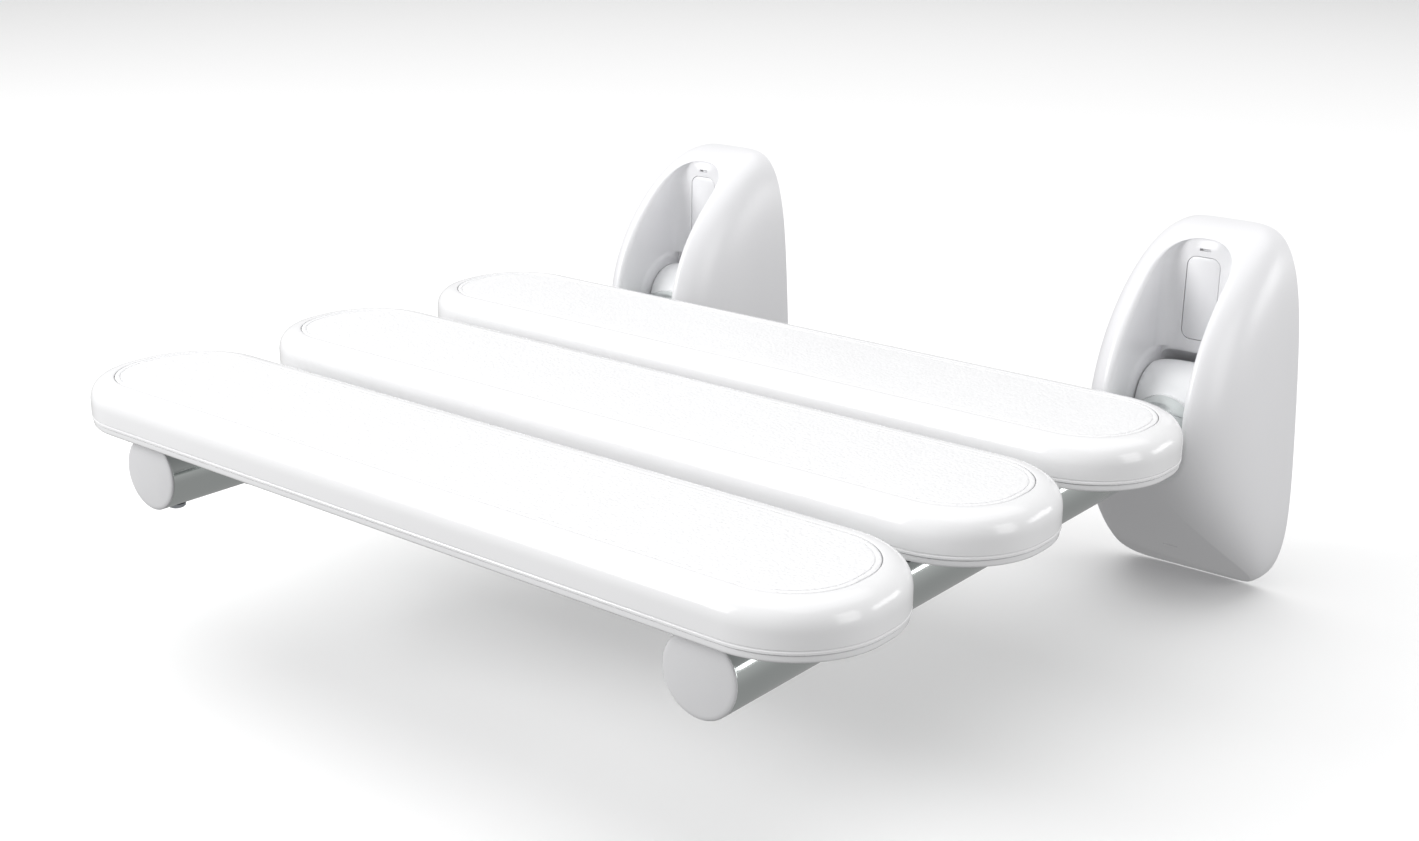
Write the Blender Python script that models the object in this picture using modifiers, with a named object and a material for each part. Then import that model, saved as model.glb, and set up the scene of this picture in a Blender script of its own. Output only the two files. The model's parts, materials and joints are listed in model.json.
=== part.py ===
"""Fold-up shower seat for a wall.

Three slats lie across two tubular arms. Each arm turns on a pin in a steel wall bracket, and a
moulded cover hides the bracket. The covers have a tall recess, which the arm lies in when the seat
is folded up against the wall.

Frame: metres, +Z up. The wall is the plane Y = 0, the seat reaches towards -Y, and X = 0 is the
middle of the seat. Z = 0 is the height of the arm tubes' axes with the seat down.
"""

import math

import bmesh
import bpy
from mathutils import Matrix, Vector

# Driving dimensions
GAP = 0.0003

SEAT_WIDTH = 0.450
SEAT_REACH = 0.452
SLAT_NAMES = ("front", "middle", "rear")
SLAT_DEPTH = 0.090
SLAT_PITCH = 0.113
SLAT_HEIGHT = 0.022
SLAT_CORNER = 0.042
SLAT_ROUND = 0.0115
SLAT_WALL = 0.0025
BASE_THICKNESS = 0.003
INLAY_THICKNESS = 0.0012
INLAY_POCKET = 0.0015
BOSS_RADIUS = 0.0048
BLOCK_MARGIN = 0.004

ARM_SPACING = 0.333
TUBE_RADIUS = 0.0175
TUBE_WALL = 0.0015
CAP_SETBACK = 0.009
CAP_RIM = 0.0016
CAP_DOME = 0.0014
CAP_PLUG = 0.009

PIVOT_FROM_WALL = 0.040
PIVOT_ABOVE_TUBE = 0.008
PIN_RADIUS = 0.006
HUB_RADIUS = 0.0185
HUB_CROWN = 0.0035
HUB_HALF_WIDTH = 0.0186
HUB_BORE = 0.009
TUBE_START = 0.063
SPIGOT_LENGTH = 0.040
NECK_START = 0.044
SPIGOT_START = 0.052
HEEL_HALF_WIDTH = 0.012
HEEL_BOTTOM = -0.018
HEEL_TOP = -0.005
GRUB_RADIUS = 0.0024
GRUB_TOP = -0.0045
BUSH_FLANGE = 0.013
BUSH_LENGTH = 0.011
PIN_HEAD = 0.003
RING_THICKNESS = 0.0012

CHEEK_RADIUS = 0.019
CHEEK_INNER = 0.0230
CHEEK_THICKNESS = 0.005
PLATE_WIDTH = 0.060
PLATE_BOTTOM = -0.072
PLATE_TOP = 0.078
PLATE_THICKNESS = 0.005
PLATE_CORNER = 0.008
WALL_HOLE_RADIUS = 0.0045
WALL_HOLE_OFFSET = 0.020
WALL_HOLE_INSET = 0.014
POST_RADIUS = 0.005

COVER_BOTTOM = -0.099
COVER_TOP = 0.100
COVER_WALL = 0.003
COVER_HALF_WIDTH = 0.0462
COVER_WIDTH_SLOPE = -0.0060
COVER_WIDTH_BOW = -0.0018
COVER_WIDTH_POWER = 4.7
COVER_DEPTH = 0.090
COVER_DEPTH_SLOPE = 0.0130
COVER_DEPTH_BOW = -0.0290
COVER_DEPTH_POWER = 2.05
COVER_SECTION_POWER = 3.2
RECESS_HALF_WIDTH = 0.020
RECESS_END_POWER = 2.6
RECESS_TOP = 0.0935
RECESS_BACK = 0.0295
RECESS_LINING = 0.0025
RECESS_BACK_WALL = 0.005
HINGE_CLEARANCE = 0.027
HINGE_BOSS = 0.026
HINGE_BOSS_INNER = 0.0192
HEEL_CLEARANCE = 0.0135
LID_HALF_WIDTH = 0.009
LID_BOTTOM = 0.040
LID_TOP = 0.084
LID_THICKNESS = 0.0012
LID_CORNER = 0.005
COVER_SCREW_HEIGHT = 0.062
COVER_SCREW_HEAD = 0.0038
PRY_SLOT_BOTTOM = 0.0872
PRY_SLOT_TOP = 0.0888

PAD_HALF_WIDTH = 0.014
PAD_HALF_LENGTH = 0.030
PAD_IN_BASE = 0.0017
SCREW_OFFSET = 0.022
SCREW_RADIUS = 0.002
SCREW_HEAD_RADIUS = 0.0042
SCREW_HEAD_HEIGHT = 0.0024
CLEAR_HOLE = 0.0025

ROUND_STEPS = 28
PIN_STEPS = 16
SCREW_STEPS = 10
CORNER_STEPS = 5
FLAT_ANGLE = math.radians(0.1)

# Derived places
SIDES = {"left": -ARM_SPACING / 2, "right": ARM_SPACING / 2}
PIVOT = Vector((0.0, -PIVOT_FROM_WALL, PIVOT_ABOVE_TUBE))
SLAT_BOTTOM = TUBE_RADIUS + GAP
SLAT_TOP = SLAT_BOTTOM + SLAT_HEIGHT
SHELL_BOTTOM = SLAT_BOTTOM + BASE_THICKNESS + GAP
BASE_BLOCK_TOP = 0.0235
SLAT_CENTRES = {
    name: -SEAT_REACH + SLAT_DEPTH / 2 + index * SLAT_PITCH
    for index, name in enumerate(SLAT_NAMES)
}
TUBE_FRONT = SEAT_REACH - CAP_SETBACK - CAP_RIM


# Scene and materials
def clear_scene():
    for obj in list(bpy.data.objects):
        bpy.data.objects.remove(obj, do_unlink=True)


def new_collection(name):
    collection = bpy.data.collections.new(name)
    bpy.context.scene.collection.children.link(collection)
    return collection


def new_material(name, colour, roughness, metallic=0.0):
    material = bpy.data.materials.new(name)
    material.use_nodes = True
    shader = material.node_tree.nodes["Principled BSDF"]
    shader.inputs["Base Color"].default_value = (*colour, 1.0)
    shader.inputs["Roughness"].default_value = roughness
    shader.inputs["Metallic"].default_value = metallic
    material.diffuse_color = (*colour, 1.0)
    return material


def gloss_white():
    return new_material("gloss_white_plastic", (0.86, 0.86, 0.87), 0.18)


def grained_white():
    return new_material("grained_white_plastic", (0.84, 0.84, 0.84), 0.5)


def satin_white():
    return new_material("satin_white_plastic", (0.80, 0.80, 0.81), 0.3)


def matt_grey():
    return new_material("matt_grey_plastic", (0.52, 0.53, 0.54), 0.45)


def polished_steel():
    return new_material("polished_steel", (0.72, 0.73, 0.72), 0.12, 1.0)


def plated_steel():
    return new_material("plated_steel", (0.55, 0.56, 0.58), 0.35, 1.0)


def painted_casting():
    return new_material("painted_casting", (0.74, 0.75, 0.76), 0.4)


def black_rubber():
    return new_material("black_rubber", (0.02, 0.02, 0.022), 0.7)


def natural_nylon():
    return new_material("natural_nylon", (0.75, 0.72, 0.64), 0.4)


# Mesh tools
def rounded_rectangle(half_x, half_y, radius, steps=CORNER_STEPS):
    """Corner points of a rectangle with round corners, anticlockwise, as (x, y) pairs."""
    corners = (
        (half_x - radius, half_y - radius, 0.0),
        (radius - half_x, half_y - radius, math.pi / 2),
        (radius - half_x, radius - half_y, math.pi),
        (half_x - radius, radius - half_y, 1.5 * math.pi),
    )
    points = []
    for centre_x, centre_y, start in corners:
        for step in range(steps + 1):
            angle = start + step * math.pi / 2 / steps
            points.append((centre_x + radius * math.cos(angle), centre_y + radius * math.sin(angle)))
    return points


def mesh_from(bm, name):
    bmesh.ops.remove_doubles(bm, verts=bm.verts, dist=1e-6)
    bmesh.ops.recalc_face_normals(bm, faces=bm.faces)
    mesh = bpy.data.meshes.new(name)
    bm.to_mesh(mesh)
    bm.free()
    return mesh


def loft(name, rings):
    """A closed solid through rings of equally many points, with a flat face on both end rings."""
    bm = bmesh.new()
    rows = [[bm.verts.new(point) for point in ring] for ring in rings]
    for lower, upper in zip(rows, rows[1:]):
        for index, corner in enumerate(lower):
            following = (index + 1) % len(lower)
            bm.faces.new((corner, lower[following], upper[following], upper[index]))
    bm.faces.new(list(reversed(rows[0])))
    bm.faces.new(rows[-1])
    return mesh_from(bm, name)


def prism(name, outline, start, end, axis="Z"):
    """A flat outline of (a, b) pairs, filled and pushed along an axis from start to end."""
    curve = bpy.data.curves.new(name, "CURVE")
    curve.dimensions = "2D"
    curve.fill_mode = "BOTH"
    curve.extrude = abs(end - start) / 2
    spline = curve.splines.new("POLY")
    spline.points.add(len(outline) - 1)
    for point, (across, along) in zip(spline.points, outline):
        point.co = (across, along, 0.0, 1.0)
    spline.use_cyclic_u = True
    obj = add_object(name, curve, CUTTERS)
    mesh = baked(obj)
    bpy.data.objects.remove(obj, do_unlink=True)
    bpy.data.curves.remove(curve)
    middle = (start + end) / 2
    places = {
        "X": Matrix(((0, 0, 1, middle), (1, 0, 0, 0), (0, 1, 0, 0), (0, 0, 0, 1))),
        "Y": Matrix(((1, 0, 0, 0), (0, 0, -1, middle), (0, 1, 0, 0), (0, 0, 0, 1))),
        "Z": Matrix.Translation((0.0, 0.0, middle)),
    }
    mesh.transform(places[axis])
    bm = bmesh.new()
    bm.from_mesh(mesh)
    bpy.data.meshes.remove(mesh)
    bmesh.ops.dissolve_limit(bm, angle_limit=FLAT_ANGLE, verts=bm.verts, edges=bm.edges)
    return mesh_from(bm, name)


def box(name, low, high):
    """A box between two opposite corners."""
    bm = bmesh.new()
    bmesh.ops.create_cube(bm, size=1.0)
    size = Vector(high) - Vector(low)
    centre = (Vector(high) + Vector(low)) / 2
    bmesh.ops.transform(bm, matrix=Matrix.LocRotScale(centre, None, size), verts=bm.verts)
    return mesh_from(bm, name)


def cylinder(name, radius, start, end, axis="Z", centre=(0.0, 0.0), steps=SCREW_STEPS):
    """A cylinder between two places on a line parallel to an axis."""
    middle = (start + end) / 2
    places = {
        "X": Matrix.Translation((middle, *centre)) @ Matrix.Rotation(math.pi / 2, 4, "Y"),
        "Y": Matrix.Translation((centre[0], middle, centre[1])) @ Matrix.Rotation(math.pi / 2, 4, "X"),
        "Z": Matrix.Translation((*centre, middle)),
    }
    half_step = Matrix.Rotation(math.pi / steps, 4, "Z")
    bm = bmesh.new()
    bmesh.ops.create_cone(
        bm,
        cap_ends=True,
        segments=steps,
        radius1=radius,
        radius2=radius,
        depth=abs(end - start),
        matrix=places[axis] @ half_step,
    )
    return mesh_from(bm, name)


def turned(name, profile, axis="Z", steps=ROUND_STEPS, hollow=False):
    """A profile of (radius, height) pairs turned about an axis; a hollow one is a closed loop."""
    mesh = bpy.data.meshes.new(name)
    edges = [(index, index + 1) for index in range(len(profile) - 1)]
    if hollow:
        edges.append((len(profile) - 1, 0))
    mesh.from_pydata([(radius, 0.0, height) for radius, height in profile], edges, [])
    obj = add_object(name, mesh, CUTTERS)
    screw = obj.modifiers.new("Turn", "SCREW")
    screw.axis = "Z"
    screw.steps = steps
    screw.render_steps = steps
    screw.use_merge_vertices = True
    screw.merge_threshold = 0.00001
    result = baked(obj)
    turns = {"X": Matrix.Rotation(math.pi / 2, 4, "Y"), "Y": Matrix.Rotation(math.pi / 2, 4, "X")}
    if axis in turns:
        result.transform(turns[axis])
    bpy.data.objects.remove(obj, do_unlink=True)
    return result


def joined(name, meshes):
    """Several meshes in one, as separate bodies for a Boolean."""
    bm = bmesh.new()
    for mesh in meshes:
        bm.from_mesh(mesh)
    mesh = bpy.data.meshes.new(name)
    bm.to_mesh(mesh)
    bm.free()
    return mesh


def add_object(name, mesh, collection):
    obj = bpy.data.objects.new(name, mesh)
    collection.objects.link(obj)
    return obj


def baked(obj):
    """The mesh that an object's modifiers make."""
    bpy.context.view_layer.update()
    depsgraph = bpy.context.evaluated_depsgraph_get()
    return bpy.data.meshes.new_from_object(obj.evaluated_get(depsgraph))


def combined(name, start, steps):
    """The mesh left after a list of (operation, mesh) Boolean steps on a starting mesh."""
    obj = add_object(name, start, CUTTERS)
    for index, (operation, mesh) in enumerate(steps):
        tool = add_object(f"{name}_tool_{index}", mesh, CUTTERS)
        tool.hide_render = True
        tool.display_type = "WIRE"
        boolean = obj.modifiers.new(f"Step {index}", "BOOLEAN")
        boolean.operation = operation
        boolean.object = tool
        boolean.solver = "EXACT"
    result = baked(obj)
    result.name = name
    bpy.data.objects.remove(obj, do_unlink=True)
    return result


def place(name, mesh, material, location=(0.0, 0.0, 0.0), pivot=None):
    """A named part with its material; a part that moves is parented to the fold axis."""
    if not mesh.materials:
        mesh.materials.append(material)
    mesh.shade_smooth()
    mesh.set_sharp_from_angle(angle=math.radians(35))
    obj = add_object(name, mesh, PARTS)
    obj.location = location
    if pivot is not None:
        obj.parent = pivot
        obj.matrix_parent_inverse = Matrix.Translation(-pivot.location)
    return obj


# Slats
def slat_ring(inset, height):
    """The slat's outline, moved inwards by an inset, at a height."""
    outline = rounded_rectangle(
        SEAT_WIDTH / 2 - inset, SLAT_DEPTH / 2 - inset, SLAT_CORNER - inset
    )
    return [(x, y, height) for x, y in outline]


def screw_places():
    """Where the slat screws pass, relative to the slat's centre."""
    return [(x, y) for x in SIDES.values() for y in (-SCREW_OFFSET, SCREW_OFFSET)]


def slat_shell_mesh():
    """The upper half: a shallow tray turned over, with a pocket on top and four screw bosses."""
    rings = [
        slat_ring(SLAT_ROUND, SLAT_TOP - INLAY_POCKET - SLAT_WALL),
        slat_ring(SLAT_WALL, SLAT_TOP - SLAT_ROUND),
        slat_ring(SLAT_WALL, SHELL_BOTTOM),
        slat_ring(0.0, SHELL_BOTTOM),
    ]
    round_steps = 4
    for step in range(round_steps + 1):
        angle = step * math.pi / 2 / round_steps
        inset = SLAT_ROUND * (1 - math.cos(angle)) * 0.98
        rings.append(slat_ring(inset, SLAT_TOP - SLAT_ROUND * (1 - math.sin(angle))))
    rings.append(slat_ring(SLAT_ROUND, SLAT_TOP))
    rings.append(slat_ring(SLAT_ROUND, SLAT_TOP - INLAY_POCKET))
    boss_bottom = BASE_BLOCK_TOP + GAP
    boss_top = SLAT_TOP - INLAY_POCKET - SLAT_WALL / 2
    bosses = [
        cylinder("boss", BOSS_RADIUS, boss_bottom, boss_top, centre=(x, y))
        for x, y in screw_places()
    ]
    bores = [
        cylinder("bore", SCREW_RADIUS + GAP, boss_bottom - 0.005, boss_top - 0.004, centre=(x, y))
        for x, y in screw_places()
    ]
    steps = [("UNION", joined("bosses", bosses)), ("DIFFERENCE", joined("bores", bores))]
    return combined("slat_shell", loft("slat_shell", rings), steps)


def slat_base_mesh():
    """The lower half: a plate with a raised block over each arm, pocketed for the saddle pad."""
    edge = 0.0005
    chamfer = 0.0010
    rings = [
        slat_ring(edge + chamfer, SLAT_BOTTOM),
        slat_ring(edge, SLAT_BOTTOM + chamfer),
        slat_ring(edge, SLAT_BOTTOM + BASE_THICKNESS),
    ]
    block_x = PAD_HALF_WIDTH + BLOCK_MARGIN
    block_y = PAD_HALF_LENGTH + BLOCK_MARGIN
    block_bottom = SLAT_BOTTOM + BASE_THICKNESS / 2
    below = SLAT_BOTTOM - BLOCK_MARGIN
    above = BASE_BLOCK_TOP + BLOCK_MARGIN
    pocket_x = PAD_HALF_WIDTH + GAP
    pocket_y = PAD_HALF_LENGTH + GAP
    pocket_top = SLAT_BOTTOM + PAD_IN_BASE + GAP
    blocks = []
    pockets = []
    for x in SIDES.values():
        low = (x - block_x, -block_y, block_bottom)
        high = (x + block_x, block_y, BASE_BLOCK_TOP)
        blocks.append(box("block", low, high))
        low = (x - pocket_x, -pocket_y, below)
        high = (x + pocket_x, pocket_y, pocket_top)
        pockets.append(box("pocket", low, high))
    holes = [
        cylinder("hole", CLEAR_HOLE, below, above, centre=(x, y)) for x, y in screw_places()
    ]
    steps = [
        ("UNION", joined("blocks", blocks)),
        ("DIFFERENCE", joined("pockets", pockets)),
        ("DIFFERENCE", joined("holes", holes)),
    ]
    return combined("slat_base", loft("slat_base", rings), steps)


def slat_inlay_mesh():
    """The grained plate that lies in the shell's pocket."""
    bottom = SLAT_TOP - INLAY_THICKNESS
    inset = SLAT_ROUND + GAP
    chamfer = 0.0003
    return loft("slat_inlay", [
        slat_ring(inset, bottom),
        slat_ring(inset, SLAT_TOP - chamfer),
        slat_ring(inset + chamfer, SLAT_TOP),
    ])


def saddle_pad_mesh():
    """A pad with a flat top and a hollow underside, which beds the slat on the round tube."""
    top = SLAT_BOTTOM + PAD_IN_BASE
    radius = TUBE_RADIUS + GAP
    reach = math.asin(PAD_HALF_WIDTH / radius)
    arc_steps = 10
    outline = [(PAD_HALF_WIDTH, top), (-PAD_HALF_WIDTH, top)]
    for step in range(arc_steps + 1):
        angle = -reach + 2 * reach * step / arc_steps
        outline.append((radius * math.sin(angle), radius * math.cos(angle)))
    solid = prism("saddle_pad", outline, -PAD_HALF_LENGTH, PAD_HALF_LENGTH, "Y")
    holes = [
        cylinder("hole", CLEAR_HOLE, TUBE_RADIUS / 2, 2 * top, centre=(0.0, y))
        for y in (-SCREW_OFFSET, SCREW_OFFSET)
    ]
    return combined("saddle_pad", solid, [("DIFFERENCE", joined("holes", holes))])


def slat_screw_mesh():
    """A long pan-head screw, head down under the tube and its point in the slat's boss."""
    head_top = -TUBE_RADIUS - GAP
    head_bottom = head_top - SCREW_HEAD_HEIGHT
    tip = SLAT_TOP - INLAY_POCKET - SLAT_WALL / 2 - 0.005
    profile = [
        (0.0, tip),
        (SCREW_RADIUS, tip - 0.001),
        (SCREW_RADIUS, head_top),
        (SCREW_HEAD_RADIUS, head_top),
        (SCREW_HEAD_RADIUS, head_bottom + 0.0012),
        (SCREW_HEAD_RADIUS - 0.0014, head_bottom),
        (0.0, head_bottom),
    ]
    return turned("slat_screw", profile, steps=SCREW_STEPS)


# Arms
def tube_mesh():
    """The straight arm tube, drilled for the slat screws and the grub screw."""
    inner = TUBE_RADIUS - TUBE_WALL
    profile = [
        (TUBE_RADIUS, TUBE_FRONT),
        (TUBE_RADIUS, TUBE_START),
        (inner, TUBE_START),
        (inner, TUBE_FRONT),
    ]
    solid = turned("arm_tube", profile, "Y", hollow=True)
    reach = TUBE_RADIUS + 0.005
    drills = []
    for centre in SLAT_CENTRES.values():
        for y in (centre - SCREW_OFFSET, centre + SCREW_OFFSET):
            drills.append(cylinder("drill", SCREW_RADIUS + GAP, -reach, reach, centre=(0.0, y)))
    drills.append(grub_screw_drill())
    return combined("arm_tube", solid, [("DIFFERENCE", joined("drills", drills))])


def grub_screw_drill():
    """The hole for the screw that holds the tube on the knuckle, open downwards."""
    top = GRUB_TOP + GAP
    return cylinder("drill", GRUB_RADIUS + GAP, -2 * TUBE_RADIUS, top, centre=(0.0, -grub_screw_reach()))


def grub_screw_reach():
    return TUBE_START + SPIGOT_LENGTH / 2


def hub_mesh():
    """The bored hub: a barrel, whose radius grows from its ends to its middle along an ellipse."""
    profile = [(HUB_BORE, -HUB_HALF_WIDTH)]
    crown_steps = 10
    for step in range(crown_steps + 1):
        part = -math.cos(math.pi * step / crown_steps)
        profile.append((HUB_RADIUS + HUB_CROWN * math.sqrt(1 - part * part), HUB_HALF_WIDTH * part))
    profile.append((HUB_BORE, HUB_HALF_WIDTH))
    mesh = turned("hub", profile, "X", hollow=True)
    mesh.transform(Matrix.Translation(PIVOT))
    return mesh


def knuckle_mesh():
    """The cast hub with a neck and spigot for the tube, and a heel that stops on the bracket."""
    centre = (PIVOT.y, PIVOT.z)
    bore_reach = HUB_HALF_WIDTH + HUB_BORE
    bore = cylinder("bore", HUB_BORE, -bore_reach, bore_reach, "X", centre, PIN_STEPS)
    neck_radius = TUBE_RADIUS - GAP
    neck = cylinder("neck", neck_radius, GAP - TUBE_START, -NECK_START, "Y", steps=ROUND_STEPS)
    spigot_radius = TUBE_RADIUS - TUBE_WALL - GAP
    spigot_end = -TUBE_START - SPIGOT_LENGTH
    spigot = cylinder("spigot", spigot_radius, spigot_end, -SPIGOT_START, "Y", steps=ROUND_STEPS)
    heel_low = (-HEEL_HALF_WIDTH, PIVOT.y, HEEL_BOTTOM)
    heel_high = (HEEL_HALF_WIDTH, -PLATE_THICKNESS - GAP, HEEL_TOP)
    steps = [
        ("UNION", neck),
        ("UNION", spigot),
        ("UNION", box("heel", heel_low, heel_high)),
        ("DIFFERENCE", bore),
        ("DIFFERENCE", grub_screw_drill()),
    ]
    return combined("arm_knuckle", hub_mesh(), steps)


def grub_screw_mesh():
    """The headless screw from below that holds the tube on the knuckle's spigot, sunk flush."""
    chamfer = 0.0005
    foot = GAP - TUBE_RADIUS
    profile = [
        (0.0, GRUB_TOP),
        (GRUB_RADIUS, GRUB_TOP - 2 * chamfer),
        (GRUB_RADIUS, foot + chamfer),
        (GRUB_RADIUS - chamfer, foot),
        (0.0, foot),
    ]
    return turned("grub_screw", profile, steps=SCREW_STEPS)


def end_cap_mesh():
    """A plug with a shallow domed face as wide as the tube; the dome is an arc."""
    rim = TUBE_RADIUS
    plug = TUBE_RADIUS - TUBE_WALL - GAP
    back = TUBE_FRONT + GAP
    face = TUBE_FRONT + CAP_RIM
    profile = []
    dome_steps = 3
    for step in range(dome_steps + 1):
        part = step / dome_steps
        profile.append((rim * part, face - CAP_RIM / 2 + CAP_DOME * (1 - part * part)))
    profile += [
        (rim, back),
        (plug, back),
        (plug, back - CAP_PLUG + 0.001),
        (plug - 0.001, back - CAP_PLUG),
        (0.0, back - CAP_PLUG),
    ]
    return turned("end_cap", profile, "Y")


# Hinge
def pin_mesh():
    """The hinge pin, with a head on the +X side and a groove for the ring on the -X side."""
    outer = CHEEK_INNER + CHEEK_THICKNESS + GAP
    groove = PIN_RADIUS - 0.0011
    groove_end = -outer - RING_THICKNESS - 2 * GAP
    chamfer = 0.001
    profile = [
        (0.0, outer + PIN_HEAD),
        (PIN_RADIUS + PIN_HEAD - chamfer, outer + PIN_HEAD),
        (PIN_RADIUS + PIN_HEAD, outer + PIN_HEAD - chamfer),
        (PIN_RADIUS + PIN_HEAD, outer),
        (PIN_RADIUS, outer),
        (PIN_RADIUS, -outer),
        (groove, -outer),
        (groove, groove_end),
        (PIN_RADIUS, groove_end),
        (PIN_RADIUS, groove_end - chamfer),
        (PIN_RADIUS - chamfer, groove_end - 2 * chamfer),
        (0.0, groove_end - 2 * chamfer),
    ]
    return turned("hinge_pin", profile, "X", steps=PIN_STEPS)


def ring_mesh():
    """The open retaining ring in the pin's groove, as a flat C."""
    inner = PIN_RADIUS - 0.0011 + GAP
    outer = PIN_RADIUS + 0.0024
    opening = math.radians(25)
    arc_steps = 18
    angles = [
        opening + (2 * math.pi - 2 * opening) * step / arc_steps for step in range(arc_steps + 1)
    ]
    outline = [(PIVOT.y + outer * math.cos(a), PIVOT.z + outer * math.sin(a)) for a in angles]
    outline += [
        (PIVOT.y + inner * math.cos(a), PIVOT.z + inner * math.sin(a)) for a in reversed(angles)
    ]
    start = -CHEEK_INNER - CHEEK_THICKNESS - 2 * GAP
    return prism("retaining_ring", outline, start - RING_THICKNESS, start, "X")


def bush_mesh():
    """A flanged sleeve between the pin and the hub; its thick flange fills up to the +X cheek."""
    flange_in = HUB_HALF_WIDTH + GAP
    flange_out = CHEEK_INNER - GAP
    inner = PIN_RADIUS + GAP
    sleeve = HUB_BORE - GAP
    profile = [
        (inner, flange_out),
        (BUSH_FLANGE, flange_out),
        (BUSH_FLANGE, flange_in),
        (sleeve, flange_in),
        (sleeve, flange_in - BUSH_LENGTH),
        (inner, flange_in - BUSH_LENGTH),
    ]
    return turned("bush", profile, "X", steps=PIN_STEPS, hollow=True)


def bracket_mesh():
    """The wall bracket: a plate, two cheeks for the pin, and a post for the cover's screw."""
    middle = (PLATE_BOTTOM + PLATE_TOP) / 2
    half_height = (PLATE_TOP - PLATE_BOTTOM) / 2
    outline = rounded_rectangle(PLATE_WIDTH / 2, half_height, PLATE_CORNER, 4)
    outline = [(x, z + middle) for x, z in outline]
    plate = prism("plate", outline, -PLATE_THICKNESS, 0.0, "Y")
    root = -PLATE_THICKNESS / 2
    cheek_outline = [(root, PIVOT.z - CHEEK_RADIUS), (root, PIVOT.z + CHEEK_RADIUS)]
    arc_steps = 12
    for step in range(arc_steps + 1):
        angle = math.pi / 2 + step * math.pi / arc_steps
        cheek_outline.append(
            (PIVOT.y + CHEEK_RADIUS * math.cos(angle), PIVOT.z + CHEEK_RADIUS * math.sin(angle))
        )
    cheeks = [
        prism("cheek", cheek_outline, CHEEK_INNER, CHEEK_INNER + CHEEK_THICKNESS, "X"),
        prism("cheek", cheek_outline, -CHEEK_INNER - CHEEK_THICKNESS, -CHEEK_INNER, "X"),
    ]
    post_end = -RECESS_BACK + RECESS_BACK_WALL + GAP
    screw_centre = (0.0, COVER_SCREW_HEIGHT)
    post = cylinder("post", POST_RADIUS, post_end, root, "Y", screw_centre)
    drill_reach = 2 * PLATE_THICKNESS
    wall_holes = [
        cylinder("hole", WALL_HOLE_RADIUS, -drill_reach, drill_reach, "Y", (x, z))
        for x in (-WALL_HOLE_OFFSET, WALL_HOLE_OFFSET)
        for z in (PLATE_BOTTOM + WALL_HOLE_INSET, PLATE_TOP - WALL_HOLE_INSET)
    ]
    pin_reach = CHEEK_INNER + 2 * CHEEK_THICKNESS
    centre = (PIVOT.y, PIVOT.z)
    pin_hole = cylinder("hole", PIN_RADIUS + GAP, -pin_reach, pin_reach, "X", centre, PIN_STEPS)
    thread_end = -PLATE_THICKNESS - 0.004
    thread = cylinder("thread", SCREW_RADIUS + GAP, 2 * post_end, thread_end, "Y", screw_centre)
    steps = [
        ("UNION", joined("cheeks", cheeks)),
        ("UNION", post),
        ("DIFFERENCE", joined("holes", wall_holes)),
        ("DIFFERENCE", pin_hole),
        ("DIFFERENCE", thread),
    ]
    return combined("wall_bracket", plate, steps)


# Covers
def end_curve(height, power):
    """A superellipse's height over its middle: 1 at height 0, and 0 at height -1 and 1."""
    return max(1 - abs(height) ** power, 0.0) ** (1 / power)


def cover_body(name, inset, rim, rows=18, columns=12):
    """The cover's outer form, moved inwards by an inset, and closed flat at Y = rim.

    Down the cover, a height s runs from -1 at its foot to 1 at its head. The half width and the
    depth are each a parabola in s times a curve that closes them at both ends, and each level
    section is half of a squarish superellipse, wider than deep at the ends.
    """
    middle = (COVER_TOP + COVER_BOTTOM) / 2
    half_height = (COVER_TOP - COVER_BOTTOM) / 2 - inset
    rings = []
    for row in range(rows + 1):
        s = -math.cos(math.pi * row / rows)
        width = COVER_HALF_WIDTH + COVER_WIDTH_SLOPE * s + COVER_WIDTH_BOW * s * s - inset
        width *= end_curve(s, COVER_WIDTH_POWER)
        depth = COVER_DEPTH + COVER_DEPTH_SLOPE * s + COVER_DEPTH_BOW * s * s - inset
        depth *= end_curve(s, COVER_DEPTH_POWER)
        ring = []
        for column in range(columns + 1):
            angle = math.pi * column / columns
            across = abs(math.cos(angle)) ** (2 / COVER_SECTION_POWER)
            across = math.copysign(across, math.cos(angle))
            out = abs(math.sin(angle)) ** (2 / COVER_SECTION_POWER)
            ring.append((width * across, -depth * out, middle + half_height * s))
        rings.append(ring)
    bm = bmesh.new()
    grid = [[bm.verts.new(point) for point in ring] for ring in rings]
    for lower, upper in zip(grid, grid[1:]):
        for column in range(columns):
            bm.faces.new((lower[column], lower[column + 1], upper[column + 1], upper[column]))
    bmesh.ops.remove_doubles(bm, verts=bm.verts, dist=1e-6)
    edges = [edge for edge in bm.edges if edge.is_boundary]
    if rim > 0:
        walls = bmesh.ops.extrude_edge_only(bm, edges=edges)["geom"]
        verts = [item for item in walls if isinstance(item, bmesh.types.BMVert)]
        bmesh.ops.translate(bm, vec=(0.0, rim, 0.0), verts=verts)
        edges = [edge for edge in bm.edges if edge.is_boundary]
    bmesh.ops.contextual_create(bm, geom=edges)
    return mesh_from(bm, name)


def recess_outline(margin):
    """The recess seen from the front: an upright slot with squarish round ends, with a margin."""
    top = RECESS_TOP - RECESS_HALF_WIDTH
    radius = RECESS_HALF_WIDTH + margin
    power = 2 / RECESS_END_POWER
    arc_steps = 14
    outline = []
    for centre, side in ((top, 1), (0.0, -1)):
        for step in range(arc_steps + 1):
            angle = math.pi * step / arc_steps
            across = math.copysign(abs(math.cos(angle)) ** power, math.cos(angle))
            up = abs(math.sin(angle)) ** power
            outline.append((side * radius * across, centre + side * radius * up))
    return outline


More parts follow.
